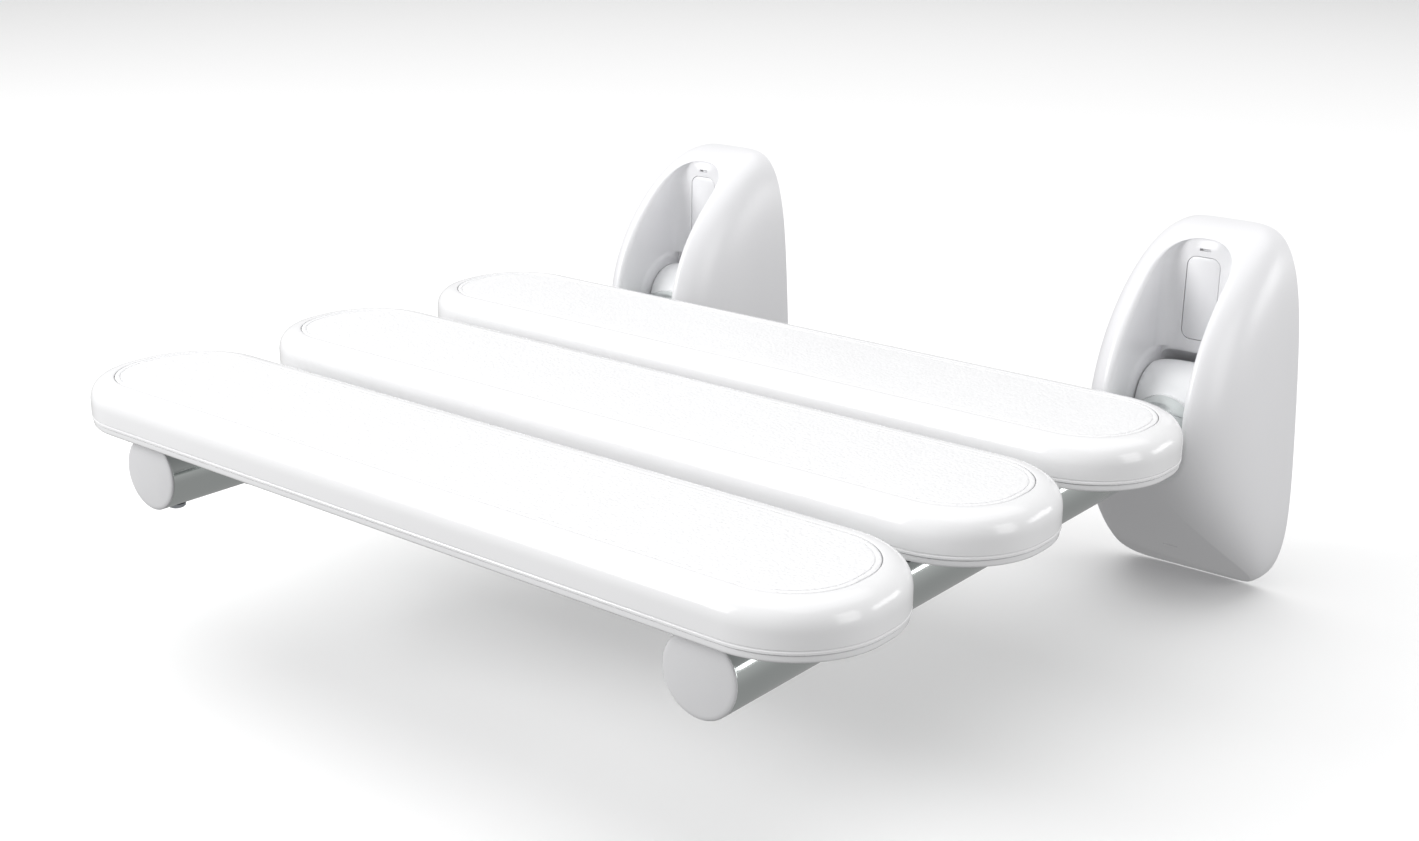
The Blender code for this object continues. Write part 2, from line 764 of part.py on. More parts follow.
def lid_outline(margin):
    """The screw lid seen from the front: a strip with round corners, with a margin."""
    middle = (LID_TOP + LID_BOTTOM) / 2
    half_height = (LID_TOP - LID_BOTTOM) / 2 + margin
    outline = rounded_rectangle(LID_HALF_WIDTH + margin, half_height, LID_CORNER + margin, 4)
    return [(x, z + middle) for x, z in outline]


def recess_lining():
    """The solid that the recess and the room for the hub are cut from, kept inside the cover."""
    front = -COVER_DEPTH - 0.030
    outline = recess_outline(RECESS_LINING)
    back = -RECESS_BACK + RECESS_BACK_WALL
    housing_x = RECESS_HALF_WIDTH + 0.8 * RECESS_LINING
    housing_radius = HINGE_CLEARANCE + RECESS_LINING
    centre = (PIVOT.y, PIVOT.z)
    housing = cylinder("housing", housing_radius, -housing_x, housing_x, "X", centre, ROUND_STEPS)
    steps = [("UNION", housing), ("INTERSECT", cover_body("cover_body", 0.0005, 0.0))]
    return combined("recess_lining", prism("recess_lining", outline, front, back, "Y"), steps)


def hinge_bosses():
    """The two raised rounds on the recess walls that close in on the hub, each a short cone."""
    cone = [
        (0.0, HINGE_BOSS_INNER),
        (HINGE_BOSS - 0.0016, HINGE_BOSS_INNER),
        (HINGE_BOSS, RECESS_HALF_WIDTH + GAP),
        (HINGE_BOSS, RECESS_HALF_WIDTH + RECESS_LINING / 2),
        (0.0, RECESS_HALF_WIDTH + RECESS_LINING / 2),
    ]
    bosses = []
    for turn in (0.0, math.pi):
        boss = turned("boss", cone, "X")
        boss.transform(Matrix.Translation(PIVOT) @ Matrix.Rotation(turn, 4, "Z"))
        bosses.append(boss)
    return joined("bosses", bosses)


def bush_notches():
    """The slots in the recess walls that let the cover slide on over the bushes from the front."""
    centre = (PIVOT.y, PIVOT.z)
    inner = HUB_HALF_WIDTH
    outer = CHEEK_INNER + CHEEK_THICKNESS
    half_height = BUSH_FLANGE + 2 * GAP
    notches = [cylinder("notch", half_height, -outer, outer, "X", centre, ROUND_STEPS)]
    for start, end in ((-outer, -inner), (inner, outer)):
        low = (start, PIVOT.y, PIVOT.z - half_height)
        high = (end, -PLATE_THICKNESS, PIVOT.z + half_height)
        notches.append(box("notch", low, high))
    return notches


def cover_mesh():
    """The moulded cover: a domed shell with a lined recess that closes in round the hub."""
    slot = prism("slot", recess_outline(0.0), -COVER_DEPTH - 0.030, -RECESS_BACK, "Y")
    centre = (PIVOT.y, PIVOT.z)
    inner = RECESS_HALF_WIDTH - GAP
    hub_room = cylinder("hub_room", HINGE_CLEARANCE, -inner, inner, "X", centre, ROUND_STEPS)
    heel_low = (-HEEL_CLEARANCE, PIVOT.y - 0.035, -0.036)
    heel_high = (HEEL_CLEARANCE, 0.0, HEEL_TOP + 0.001)
    pocket_front = -RECESS_BACK - RECESS_LINING
    pocket_back = -RECESS_BACK + LID_THICKNESS + GAP
    pocket = prism("pocket", lid_outline(GAP), pocket_front, pocket_back, "Y")
    screw_centre = (0.0, COVER_SCREW_HEIGHT)
    bore_radius = COVER_SCREW_HEAD + 0.0008
    bore_end = -RECESS_BACK + COVER_SCREW_HEAD
    counterbore = cylinder("counterbore", bore_radius, pocket_front, bore_end, "Y", screw_centre)
    hole_end = -RECESS_BACK + 2 * RECESS_BACK_WALL
    screw_hole = cylinder("hole", CLEAR_HOLE, pocket_front, hole_end, "Y", screw_centre)
    pry_low = (-0.003, -RECESS_BACK - 0.0055, PRY_SLOT_BOTTOM)
    pry_high = (0.003, -RECESS_BACK + 0.0075, PRY_SLOT_TOP)
    release_low = (-0.004, -0.0388, COVER_BOTTOM + 0.001)
    release_high = (0.004, -0.0372, COVER_BOTTOM + 0.039)
    steps = [
        ("DIFFERENCE", cover_body("cover_hollow", COVER_WALL, 0.010)),
        ("UNION", recess_lining()),
        ("DIFFERENCE", slot),
        ("DIFFERENCE", hub_room),
        ("UNION", hinge_bosses()),
    ]
    steps += [("DIFFERENCE", notch) for notch in bush_notches()]
    steps += [
        ("DIFFERENCE", box("heel_room", heel_low, heel_high)),
        ("DIFFERENCE", pocket),
        ("DIFFERENCE", counterbore),
        ("DIFFERENCE", screw_hole),
        ("DIFFERENCE", box("pry_slot", pry_low, pry_high)),
        ("DIFFERENCE", box("release_slot", release_low, release_high)),
    ]
    return combined("cover", cover_body("cover_body", 0.0, 0.0), steps)


def lid_mesh():
    """The snap-in strip over the cover's screw, flush with the back of the recess."""
    start = -RECESS_BACK
    return prism("screw_lid", lid_outline(0.0), start, start + LID_THICKNESS, "Y")


def cover_screw_mesh():
    """The screw that holds the cover on the bracket's post, with its head towards the front."""
    head_back = RECESS_BACK - COVER_SCREW_HEAD + GAP
    chamfer = 0.0008
    tip = PLATE_THICKNESS + 0.005
    profile = [
        (0.0, head_back + 2 * chamfer),
        (COVER_SCREW_HEAD - chamfer, head_back + 2 * chamfer),
        (COVER_SCREW_HEAD, head_back + chamfer),
        (COVER_SCREW_HEAD, head_back),
        (SCREW_RADIUS, head_back),
        (SCREW_RADIUS, tip + 0.001),
        (0.0, tip),
    ]
    return turned("cover_screw", profile, "Y", steps=SCREW_STEPS)


# Assembly
def fold_axis():
    """The empty on the hinge line, which the whole seat turns with."""
    pivot = bpy.data.objects.new("fold_axis", None)
    pivot.location = PIVOT
    pivot.empty_display_size = 0.05
    PARTS.objects.link(pivot)
    return pivot


def build_slats(pivot):
    shell_mesh = slat_shell_mesh()
    base_mesh = slat_base_mesh()
    inlay_mesh = slat_inlay_mesh()
    pad_mesh = saddle_pad_mesh()
    screw_mesh = slat_screw_mesh()
    white = gloss_white()
    grain = grained_white()
    rubber = black_rubber()
    steel = plated_steel()
    for name, y in SLAT_CENTRES.items():
        place(f"{name}_slat_shell", shell_mesh, white, (0.0, y, 0.0), pivot)
        place(f"{name}_slat_base", base_mesh, white, (0.0, y, 0.0), pivot)
        place(f"{name}_slat_inlay", inlay_mesh, grain, (0.0, y, 0.0), pivot)
        for side, x in SIDES.items():
            place(f"{name}_saddle_pad_{side}", pad_mesh, rubber, (x, y, 0.0), pivot)
            for end, offset in (("a", -SCREW_OFFSET), ("b", SCREW_OFFSET)):
                location = (x, y + offset, 0.0)
                place(f"{name}_slat_screw_{side}_{end}", screw_mesh, steel, location, pivot)


def build_arms(pivot):
    tube = tube_mesh()
    knuckle = knuckle_mesh()
    cap = end_cap_mesh()
    screw = grub_screw_mesh()
    polished = polished_steel()
    casting = painted_casting()
    grey = matt_grey()
    steel = plated_steel()
    for side, x in SIDES.items():
        place(f"arm_tube_{side}", tube, polished, (x, 0.0, 0.0), pivot)
        place(f"arm_knuckle_{side}", knuckle, casting, (x, 0.0, 0.0), pivot)
        place(f"end_cap_{side}", cap, grey, (x, 0.0, 0.0), pivot)
        place(f"grub_screw_{side}", screw, steel, (x, -grub_screw_reach(), 0.0), pivot)


def build_hinges(pivot):
    bracket = bracket_mesh()
    pin = pin_mesh()
    ring = ring_mesh()
    outer_bush = bush_mesh()
    inner_bush = outer_bush.copy()
    inner_bush.transform(Matrix.Rotation(math.pi, 4, "Z"))
    steel = plated_steel()
    polished = polished_steel()
    nylon = natural_nylon()
    for side, x in SIDES.items():
        place(f"wall_bracket_{side}", bracket, steel, (x, 0.0, 0.0))
        place(f"hinge_pin_{side}", pin, polished, (x, PIVOT.y, PIVOT.z))
        place(f"retaining_ring_{side}", ring, steel, (x, 0.0, 0.0))
        place(f"hinge_bush_{side}_a", outer_bush, nylon, (x, PIVOT.y, PIVOT.z), pivot)
        place(f"hinge_bush_{side}_b", inner_bush, nylon, (x, PIVOT.y, PIVOT.z), pivot)


def build_covers():
    cover = cover_mesh()
    lid = lid_mesh()
    screw = cover_screw_mesh()
    satin = satin_white()
    steel = plated_steel()
    for side, x in SIDES.items():
        place(f"wall_cover_{side}", cover, satin, (x, 0.0, 0.0))
        place(f"screw_lid_{side}", lid, satin, (x, 0.0, 0.0))
        place(f"cover_screw_{side}", screw, steel, (x, 0.0, COVER_SCREW_HEIGHT))


clear_scene()
PARTS = new_collection("fold_up_shower_seat")
CUTTERS = new_collection("cutters")
FOLD = fold_axis()
build_slats(FOLD)
build_arms(FOLD)
build_hinges(FOLD)
build_covers()
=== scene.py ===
"""Looks of a fold-up shower seat for a wall: slats, arms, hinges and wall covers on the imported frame."""

import json
import math

import bmesh
import bpy
import numpy as np
from mathutils import Matrix, Vector


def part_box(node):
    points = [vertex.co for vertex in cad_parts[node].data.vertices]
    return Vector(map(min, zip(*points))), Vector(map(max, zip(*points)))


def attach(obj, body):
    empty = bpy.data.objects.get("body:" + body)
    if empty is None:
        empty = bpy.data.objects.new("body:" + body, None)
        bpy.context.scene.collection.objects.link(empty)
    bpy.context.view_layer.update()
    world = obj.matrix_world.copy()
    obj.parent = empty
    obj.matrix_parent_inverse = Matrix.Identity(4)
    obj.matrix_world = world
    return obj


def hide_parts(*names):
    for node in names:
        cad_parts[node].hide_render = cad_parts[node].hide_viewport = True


bl_info = {
    "name": "Fold-up shower seat",
    "version": (1, 0, 0),
    "blender": (4, 5, 0),
    "location": "3D View > Sidebar > Shower seat",
    "description": "Makes the visible surfaces and finishes of a fold-up shower seat",
    "category": "Object",
}

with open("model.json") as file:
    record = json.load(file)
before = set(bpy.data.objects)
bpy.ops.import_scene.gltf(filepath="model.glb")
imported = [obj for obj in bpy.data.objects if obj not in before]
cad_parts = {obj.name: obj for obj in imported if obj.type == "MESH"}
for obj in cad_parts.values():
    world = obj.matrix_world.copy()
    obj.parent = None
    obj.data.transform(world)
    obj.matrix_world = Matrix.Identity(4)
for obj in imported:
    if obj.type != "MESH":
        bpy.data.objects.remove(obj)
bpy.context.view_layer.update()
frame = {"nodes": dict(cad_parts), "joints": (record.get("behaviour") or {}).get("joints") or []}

SIDES = ("left", "right")
SLATS = ("front", "middle", "rear")
WALL_BODY = "wall_side"
SEAT_BODY = "seat"

# Sizes that no user setting changes, in metres
FINE_GRAIN_SHARE = 0.18
MERGE_DISTANCE = 2e-7
TUBE_WALL = 0.0015
FIT_GAP = 0.0003
CAP_DOME = 0.0012
CAP_PLUG_INSET = 0.0019
CAP_RIB = 0.0004
CAP_RIBS = 4
SCREW_SHANK = 0.0019
SCREW_PITCH = 0.0008
SCREW_THREAD = 0.0003
LARGE_HEAD = 0.004
BASE_SETBACK = 0.0006
PAD_MARGIN = 0.0004
SLAT_WALL = 0.0025
SLAT_SKIN = 0.0040
INLAY_GAP = 0.0008
HEEL_HALF = 0.0135
HEEL_REACH = 0.035
HEEL_LOW, HEEL_HIGH = -0.036, -0.004
BUSH_ROOM = 0.0136
BUSH_ROOM_ENDS = (0.0183, 0.0300)
HUB_ROOM_HALF = 0.0191
PRY_SLOT = (0.003, 0.0872, 0.0886)
RELEASE_SLOT = (0.004, -0.0388, -0.0372)
LID_SEAT_CORNER = 0.0055
LID_CORNER = 0.005
FLOOR_GAP = 0.0004
FLOOR_REACH = 6.0

# Place, aim, size and power in watts of each soft light; None aims at the middle of the seat
LIGHTS = {
    "top_light": ((-0.4, 0.6, 3.2), (-0.4, 0.6, 0.0), (5.0, 5.0), 78.0),
    "left_light": ((-1.2, -1.8, 0.9), None, (1.2, 0.9), 34.0),
    "right_light": ((2.0, -0.2, 0.5), None, (0.8, 1.2), 9.0),
    "rear_light": ((1.7, 1.4, 0.45), None, (1.2, 0.5), 7.0),
}


def node_box(name):
    """Lowest and highest corner of a frame node, as arrays."""
    low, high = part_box(name)
    return np.array(low), np.array(high)


COVER_LOW, COVER_HIGH = node_box("wall_cover_right")
FOLD = np.array(next(joint["pos_m"] for joint in frame["joints"] if joint["name"] == "fold"))


# Settings that a user would change
class SlatSettings(bpy.types.PropertyGroup):
    corner: bpy.props.FloatProperty(
        name="Corner", description="Radius of a slat's corners seen from above",
        default=0.042, unit="LENGTH",
    )
    edge: bpy.props.FloatProperty(
        name="Edge", description="How far the soft top edge reaches in from the side",
        default=0.0112, unit="LENGTH",
    )
    border: bpy.props.FloatProperty(
        name="Border", description="Width of the smooth border round the grained field",
        default=0.0022, unit="LENGTH",
    )
    grain: bpy.props.FloatProperty(
        name="Grain", description="Width of one pebble of the leather grain",
        default=0.0017, unit="LENGTH",
    )
    colour: bpy.props.StringProperty(
        name="Colour", description="Moulded plastic colour as sRGB hex", default="E9E9EA",
    )


class ArmSettings(bpy.types.PropertyGroup):
    tube_lip: bpy.props.FloatProperty(
        name="Tube lip", description="Rounding at the tube's sawn and deburred ends",
        default=0.0004, unit="LENGTH",
    )
    cap_edge: bpy.props.FloatProperty(
        name="Cap edge", description="Rounding round the cap's face",
        default=0.0009, unit="LENGTH",
    )
    tube_colour: bpy.props.StringProperty(
        name="Tube colour", description="Polished steel colour as sRGB hex", default="DDE1DF",
    )
    cap_colour: bpy.props.StringProperty(
        name="Cap colour", description="Cap plastic colour as sRGB hex", default="D6D6D7",
    )


class CoverSettings(bpy.types.PropertyGroup):
    wall: bpy.props.FloatProperty(
        name="Wall", description="Thickness of the moulded wall", default=0.0025, unit="LENGTH",
    )
    rim: bpy.props.FloatProperty(
        name="Rim", description="Rounding round the mouth of the recess",
        default=0.0055, unit="LENGTH",
    )
    cove: bpy.props.FloatProperty(
        name="Cove", description="Hollow rounding where the recess walls meet its back",
        default=0.0090, unit="LENGTH",
    )
    lid_gap: bpy.props.FloatProperty(
        name="Lid gap", description="Open line round the screw lid", default=0.0003, unit="LENGTH",
    )
    colour: bpy.props.StringProperty(
        name="Colour", description="Moulded plastic colour as sRGB hex", default="E6E6E8",
    )


class StageSettings(bpy.types.PropertyGroup):
    floor: bpy.props.StringProperty(
        name="Floor", description="Floor colour as sRGB hex", default="FAFAFA",
    )
    lens: bpy.props.FloatProperty(
        name="Lens", description="Focal length on a 36 mm sensor, in millimetres", default=46.69,
    )
    azimuth: bpy.props.FloatProperty(
        name="Azimuth", description="Turn of the camera round the seat from straight in front",
        default=math.radians(38.60), subtype="ANGLE",
    )
    elevation: bpy.props.FloatProperty(
        name="Elevation", description="Height of the camera above the horizon",
        default=math.radians(18.10), subtype="ANGLE",
    )
    roll: bpy.props.FloatProperty(
        name="Roll", description="Tilt of the camera about its own line of sight",
        default=math.radians(0.68), subtype="ANGLE",
    )
    place: bpy.props.FloatVectorProperty(
        name="Place", description="Where the camera stands", default=(0.5478, -0.9152, 0.2964),
        subtype="TRANSLATION",
    )


# Nodes and materials
def linear(code):
    """An sRGB hex colour as linear red, green, blue and alpha."""
    values = np.array([int(code[i:i + 2], 16) for i in (0, 2, 4)]) / 255
    low = values / 12.92
    high = ((values + 0.055) / 1.055) ** 2.4
    return (*np.where(values <= 0.04045, low, high).tolist(), 1.0)


def add_node(tree, kind, values=None, links=None, **settings):
    """One node: settings are its own properties, values its sockets, links what feeds them."""
    made = tree.nodes.new(kind)
    for key, value in settings.items():
        setattr(made, key, value)
    for key, value in (values or {}).items():
        made.inputs[key].default_value = value
    for key, source in (links or {}).items():
        tree.links.new(source, made.inputs[key])
    return made


def new_material(name, roughness, metallic=0.0, ior=None):
    """A material with a Principled shader; returns the material, its tree, shader and coordinates."""
    material = bpy.data.materials.new(name)
    material.use_nodes = True
    tree = material.node_tree
    shader = tree.nodes["Principled BSDF"]
    shader.inputs["Roughness"].default_value = roughness
    shader.inputs["Metallic"].default_value = metallic
    if ior is not None:
        shader.inputs["IOR"].default_value = ior
    place = add_node(tree, "ShaderNodeTexCoord").outputs["Object"]
    return material, tree, shader, place


def tint(tree, shader, place, light, dark, size):
    """Base colour that drifts between two near tones over patches of a given size in metres."""
    noise = add_node(
        tree, "ShaderNodeTexNoise", {"Scale": 1 / size, "Detail": 3.0}, {"Vector": place}
    )
    mix = add_node(
        tree, "ShaderNodeMix", {6: linear(light), 7: linear(dark)},
        {0: noise.outputs["Fac"]}, data_type="RGBA"
    )
    tree.links.new(mix.outputs[2], shader.inputs["Base Color"])


def worn_roughness(tree, shader, source, low, high):
    """Roughness between two values, led by a pattern from 0 to 1."""
    spread = add_node(
        tree, "ShaderNodeMapRange", {"To Min": low, "To Max": high}, {"Value": source}
    )
    tree.links.new(spread.outputs["Result"], shader.inputs["Roughness"])


def bumped(tree, shader, height, depth):
    """A bump from a height pattern whose 0 to 1 is a real depth in metres."""
    bump = add_node(
        tree, "ShaderNodeBump", {"Strength": 1.0, "Distance": depth}, {"Height": height}
    )
    tree.links.new(bump.outputs["Normal"], shader.inputs["Normal"])


def gloss_moulded_abs():
    """Gloss ABS from a polished mould: a hard clear shine with a faint slow waviness."""
    material, tree, shader, place = new_material("gloss_moulded_abs", 0.16, ior=1.53)
    settings = bpy.context.scene.shower_slats
    tint(tree, shader, place, settings.colour, "E6E6E7", 0.030)
    wave = add_node(
        tree, "ShaderNodeTexNoise", {"Scale": 1 / 0.014, "Detail": 2.0}, {"Vector": place}
    )
    worn_roughness(tree, shader, wave.outputs["Fac"], 0.12, 0.20)
    bumped(tree, shader, wave.outputs["Fac"], 0.00006)
    return material


def leather_grained_abs():
    """ABS from an acid-etched mould: rounded pebbles with fine valleys, which scatter the shine."""
    material, tree, shader, place = new_material("leather_grained_abs", 0.42, ior=1.53)
    settings = bpy.context.scene.shower_slats
    tint(tree, shader, place, settings.colour, "E5E5E6", 0.020)
    bend = add_node(
        tree, "ShaderNodeTexNoise", {"Scale": 1 / 0.004, "Detail": 2.0}, {"Vector": place}
    )
    shift = add_node(
        tree, "ShaderNodeVectorMath", {"Scale": 0.0012}, {0: bend.outputs["Color"]},
        operation="SCALE",
    )
    bent = add_node(
        tree, "ShaderNodeVectorMath", None, {0: place, 1: shift.outputs["Vector"]},
        operation="ADD",
    )
    cells = add_node(
        tree, "ShaderNodeTexVoronoi", {"Scale": 1 / settings.grain, "Smoothness": 0.35},
        {"Vector": bent.outputs["Vector"]}, feature="SMOOTH_F1",
    )
    pebble = add_node(
        tree, "ShaderNodeMapRange", {"From Max": 0.75, "To Min": 1.0, "To Max": 0.0},
        {"Value": cells.outputs["Distance"]},
    )
    fine = add_node(
        tree, "ShaderNodeTexNoise", {"Scale": 1 / 0.0007, "Detail": 1.0}, {"Vector": place}
    )
    height = add_node(
        tree, "ShaderNodeMath", {1: FINE_GRAIN_SHARE},
        {0: fine.outputs["Fac"], 2: pebble.outputs["Result"]}, operation="MULTIPLY_ADD",
    )
    worn_roughness(tree, shader, pebble.outputs["Result"], 0.52, 0.36)
    bumped(tree, shader, height.outputs["Value"], 0.00022)
    return material


def satin_moulded_abs():
    """ABS from a blasted mould: an even satin with a very fine orange peel."""
    material, tree, shader, place = new_material("satin_moulded_abs", 0.30, ior=1.53)
    settings = bpy.context.scene.shower_covers
    tint(tree, shader, place, settings.colour, "E3E3E5", 0.035)
    peel = add_node(
        tree, "ShaderNodeTexNoise", {"Scale": 1 / 0.0022, "Detail": 2.0}, {"Vector": place}
    )
    slow = add_node(
        tree, "ShaderNodeTexNoise", {"Scale": 1 / 0.030, "Detail": 2.0}, {"Vector": place}
    )
    worn_roughness(tree, shader, slow.outputs["Fac"], 0.25, 0.36)
    bumped(tree, shader, peel.outputs["Fac"], 0.000025)
    return material


def matt_polypropylene():
    """Polypropylene from a sparked mould: a dry matt skin with a sand-like grain."""
    material, tree, shader, place = new_material("matt_polypropylene", 0.46, ior=1.49)
    settings = bpy.context.scene.shower_arms
    tint(tree, shader, place, settings.cap_colour, "D1D1D3", 0.012)
    spark = add_node(
        tree, "ShaderNodeTexNoise", {"Scale": 1 / 0.0006, "Detail": 2.0}, {"Vector": place}
    )
    worn_roughness(tree, shader, spark.outputs["Fac"], 0.40, 0.54)
    bumped(tree, shader, spark.outputs["Fac"], 0.00004)
    return material


def polished_stainless():
    """Stainless tube, belt ground along its length and then buffed: a mirror with faint lines."""
    material, tree, shader, place = new_material("polished_stainless", 0.10, 1.0)
    settings = bpy.context.scene.shower_arms
    tint(tree, shader, place, settings.tube_colour, "D2D8D6", 0.050)
    along = add_node(
        tree, "ShaderNodeMapping", {"Scale": (1 / 0.0005, 1 / 0.080, 1 / 0.0005)},
        {"Vector": place},
    )
    lines = add_node(
        tree, "ShaderNodeTexNoise", {"Scale": 1.0, "Detail": 3.0},
        {"Vector": along.outputs["Vector"]},
    )
    worn_roughness(tree, shader, lines.outputs["Fac"], 0.06, 0.17)
    bumped(tree, shader, lines.outputs["Fac"], 0.000006)
    return material


def zinc_plated_steel():
    """Pressed steel, zinc plated: a grey metal with cloudy patches and dull edges."""
    material, tree, shader, place = new_material("zinc_plated_steel", 0.34, 1.0)
    tint(tree, shader, place, "C3C6CA", "A9ADB3", 0.006)
    cloud = add_node(
        tree, "ShaderNodeTexNoise", {"Scale": 1 / 0.003, "Detail": 4.0}, {"Vector": place}
    )
    worn_roughness(tree, shader, cloud.outputs["Fac"], 0.26, 0.46)
    bumped(tree, shader, cloud.outputs["Fac"], 0.00002)
    return material


def powder_coated_casting():
    """A die casting under light powder coat: orange peel over soft cast corners."""
    material, tree, shader, place = new_material("powder_coated_casting", 0.38, ior=1.5)
    tint(tree, shader, place, "E6E7E8", "E0E1E3", 0.015)
    peel = add_node(
        tree, "ShaderNodeTexNoise", {"Scale": 1 / 0.0018, "Detail": 2.0}, {"Vector": place}
    )
    worn_roughness(tree, shader, peel.outputs["Fac"], 0.32, 0.44)
    bumped(tree, shader, peel.outputs["Fac"], 0.00007)
    return material


def moulded_epdm():
    """EPDM rubber from a vapour-blasted mould: near black, dry, with a slight bloom."""
    material, tree, shader, place = new_material("moulded_epdm", 0.72, ior=1.5)
    tint(tree, shader, place, "1B1B1C", "262627", 0.005)
    grit = add_node(
        tree, "ShaderNodeTexNoise", {"Scale": 1 / 0.0005, "Detail": 2.0}, {"Vector": place}
    )
    worn_roughness(tree, shader, grit.outputs["Fac"], 0.62, 0.82)
    bumped(tree, shader, grit.outputs["Fac"], 0.00005)
    return material


def natural_polyamide():
    """Turned natural nylon: warm off-white and slightly waxy, with fine lathe rings."""
    material, tree, shader, place = new_material("natural_polyamide", 0.40, ior=1.53)
    tint(tree, shader, place, "E6DFCD", "DDD5C2", 0.006)
    rings = add_node(
        tree, "ShaderNodeMapping", {"Scale": (1 / 0.0004, 1 / 0.02, 1 / 0.02)}, {"Vector": place}
    )
    marks = add_node(
        tree, "ShaderNodeTexNoise", {"Scale": 1.0, "Detail": 1.0},
        {"Vector": rings.outputs["Vector"]},
    )
    worn_roughness(tree, shader, marks.outputs["Fac"], 0.34, 0.48)
    bumped(tree, shader, marks.outputs["Fac"], 0.00002)
    return material


MAKERS = {
    "gloss_white": gloss_moulded_abs,
    "grained_white": leather_grained_abs,
    "satin_white": satin_moulded_abs,
    "matt_grey": matt_polypropylene,
    "polished_steel": polished_stainless,
    "plated_steel": zinc_plated_steel,
    "painted_casting": powder_coated_casting,
    "black_rubber": moulded_epdm,
    "natural_nylon": natural_polyamide,
}
MADE = {}


def finish_of(slot):
    """The material for a slot of the record, made once."""
    if slot not in MADE:
        MADE[slot] = MAKERS[slot]()
    return MADE[slot]


# Surfaces
def grid_mesh(name, points, closed_rows=False, closed_columns=True, capped=(False, False)):
    """A mesh over a grid of points, rows by columns by three.

    Each face joins four neighbours of the grid. Closed rows or columns run back to the first.
    Capped puts one flat face over the first or last row. Points that meet are merged, and the
    faces are turned outwards.
    """
    rows, columns = points.shape[:2]
    index = np.arange(rows * columns).reshape(rows, columns)
    if closed_columns:
        index = np.concatenate([index, index[:, :1]], axis=1)
    if closed_rows:
        index = np.concatenate([index, index[:1]], axis=0)
    quads = np.stack(
        [index[:-1, :-1], index[:-1, 1:], index[1:, 1:], index[1:, :-1]], axis=-1
    ).reshape(-1, 4)
    faces = quads.tolist()
    if capped[0]:
        faces.append(np.arange(columns)[::-1].tolist())
    if capped[1]:
        faces.append(np.arange((rows - 1) * columns, rows * columns).tolist())
    mesh = bpy.data.meshes.new(name)
    mesh.from_pydata(points.reshape(-1, 3).tolist(), [], faces)
    return cleaned(mesh)


def cleaned(mesh, outward=True):
    """The mesh with points that meet merged, and its faces turned outwards if asked."""
    bm = bmesh.new()
    bm.from_mesh(mesh)
    bmesh.ops.remove_doubles(bm, verts=bm.verts, dist=MERGE_DISTANCE)
    bmesh.ops.dissolve_degenerate(bm, edges=bm.edges, dist=1e-7)
    if outward:
        bmesh.ops.recalc_face_normals(bm, faces=bm.faces)
    bm.to_mesh(mesh)
    bm.free()
    return mesh


def turned_surface(name, profile, origin, steps=96, loop=False):
    """A profile of (radius, place) rows turned about a line along Y through the origin point.

    Point (i, j) has the radius and place of row i and the angle j / steps of a turn.
    """
    profile = np.array(profile)
    angle = 2 * np.pi * np.arange(steps) / steps
    across = profile[:, :1] * np.cos(angle)
    up = profile[:, :1] * np.sin(angle)
    along = np.repeat(profile[:, 1:], steps, axis=1)
    points = np.stack([across, along, up], axis=-1) + np.array(origin)
    return grid_mesh(name, points, closed_rows=loop)


def arc(centre, radius, start, end, steps=6):
    """Points on an arc in the profile plane, by angle in degrees."""
    angle = np.radians(np.linspace(start, end, steps + 1))
    return np.stack(
        [centre[0] + radius * np.cos(angle), centre[1] + radius * np.sin(angle)], axis=-1
    ).tolist()


def rounded_outline(half_x, half_y, corner, corner_steps=26, side_steps=6):
    """Points round a rectangle with round corners, anticlockwise, and their outward normals.

    The corners are quarter circles. The sides between them are split evenly.
    """
    turn = np.linspace(0, np.pi / 2, corner_steps + 1)
    points = []
    normals = []
    signs = ((1, 1), (-1, 1), (-1, -1), (1, -1))
    for quarter, (sign_x, sign_y) in enumerate(signs):
        angle = turn + quarter * np.pi / 2
        normal = np.stack([np.cos(angle), np.sin(angle)], axis=-1)
        centre = np.array([sign_x * (half_x - corner), sign_y * (half_y - corner)])
        points.append(centre + corner * normal)
        normals.append(normal)
    outline = []
    facing = []
    for quarter in range(4):
        outline.append(points[quarter])
        facing.append(normals[quarter])
        start = points[quarter][-1]
        end = points[(quarter + 1) % 4][0]
        part = np.linspace(0, 1, side_steps + 2)[1:-1, None]
        outline.append(start + (end - start) * part)
        facing.append(np.repeat(normals[quarter][-1:], side_steps, axis=0))
    return np.concatenate(outline), np.concatenate(facing)


def carried(name, outline, profile, centre, capped=(True, True)):
    """A profile of (inset, height) rows carried round an outline.

    Point (i, j) is the outline's point j moved in along its normal by row i's inset, at row i's
    height.
    """
    points, normals = outline
    profile = np.array(profile)
    flat = points[None] - normals[None] * profile[:, 0, None, None]
    high = np.repeat(profile[:, 1, None], len(points), axis=1)[..., None]
    place = np.array([centre[0], centre[1], 0.0])
    return grid_mesh(name, np.concatenate([flat, high], axis=-1) + place, capped=capped)


def box_mesh(low, high):
    """A plain box, used only to cut with."""
    bm = bmesh.new()
    bmesh.ops.create_cube(bm, size=1.0)
    size = Vector(high) - Vector(low)
    middle = (Vector(high) + Vector(low)) / 2
    bmesh.ops.transform(bm, matrix=Matrix.LocRotScale(middle, None, size), verts=bm.verts)
    mesh = bpy.data.meshes.new("cutter")
    bm.to_mesh(mesh)
    bm.free()
    return mesh


def joined(meshes):
    """Several meshes in one."""
    bm = bmesh.new()
    for mesh in meshes:
        bm.from_mesh(mesh)
    mesh = bpy.data.meshes.new("joined")
    bm.to_mesh(mesh)
    bm.free()
    return mesh


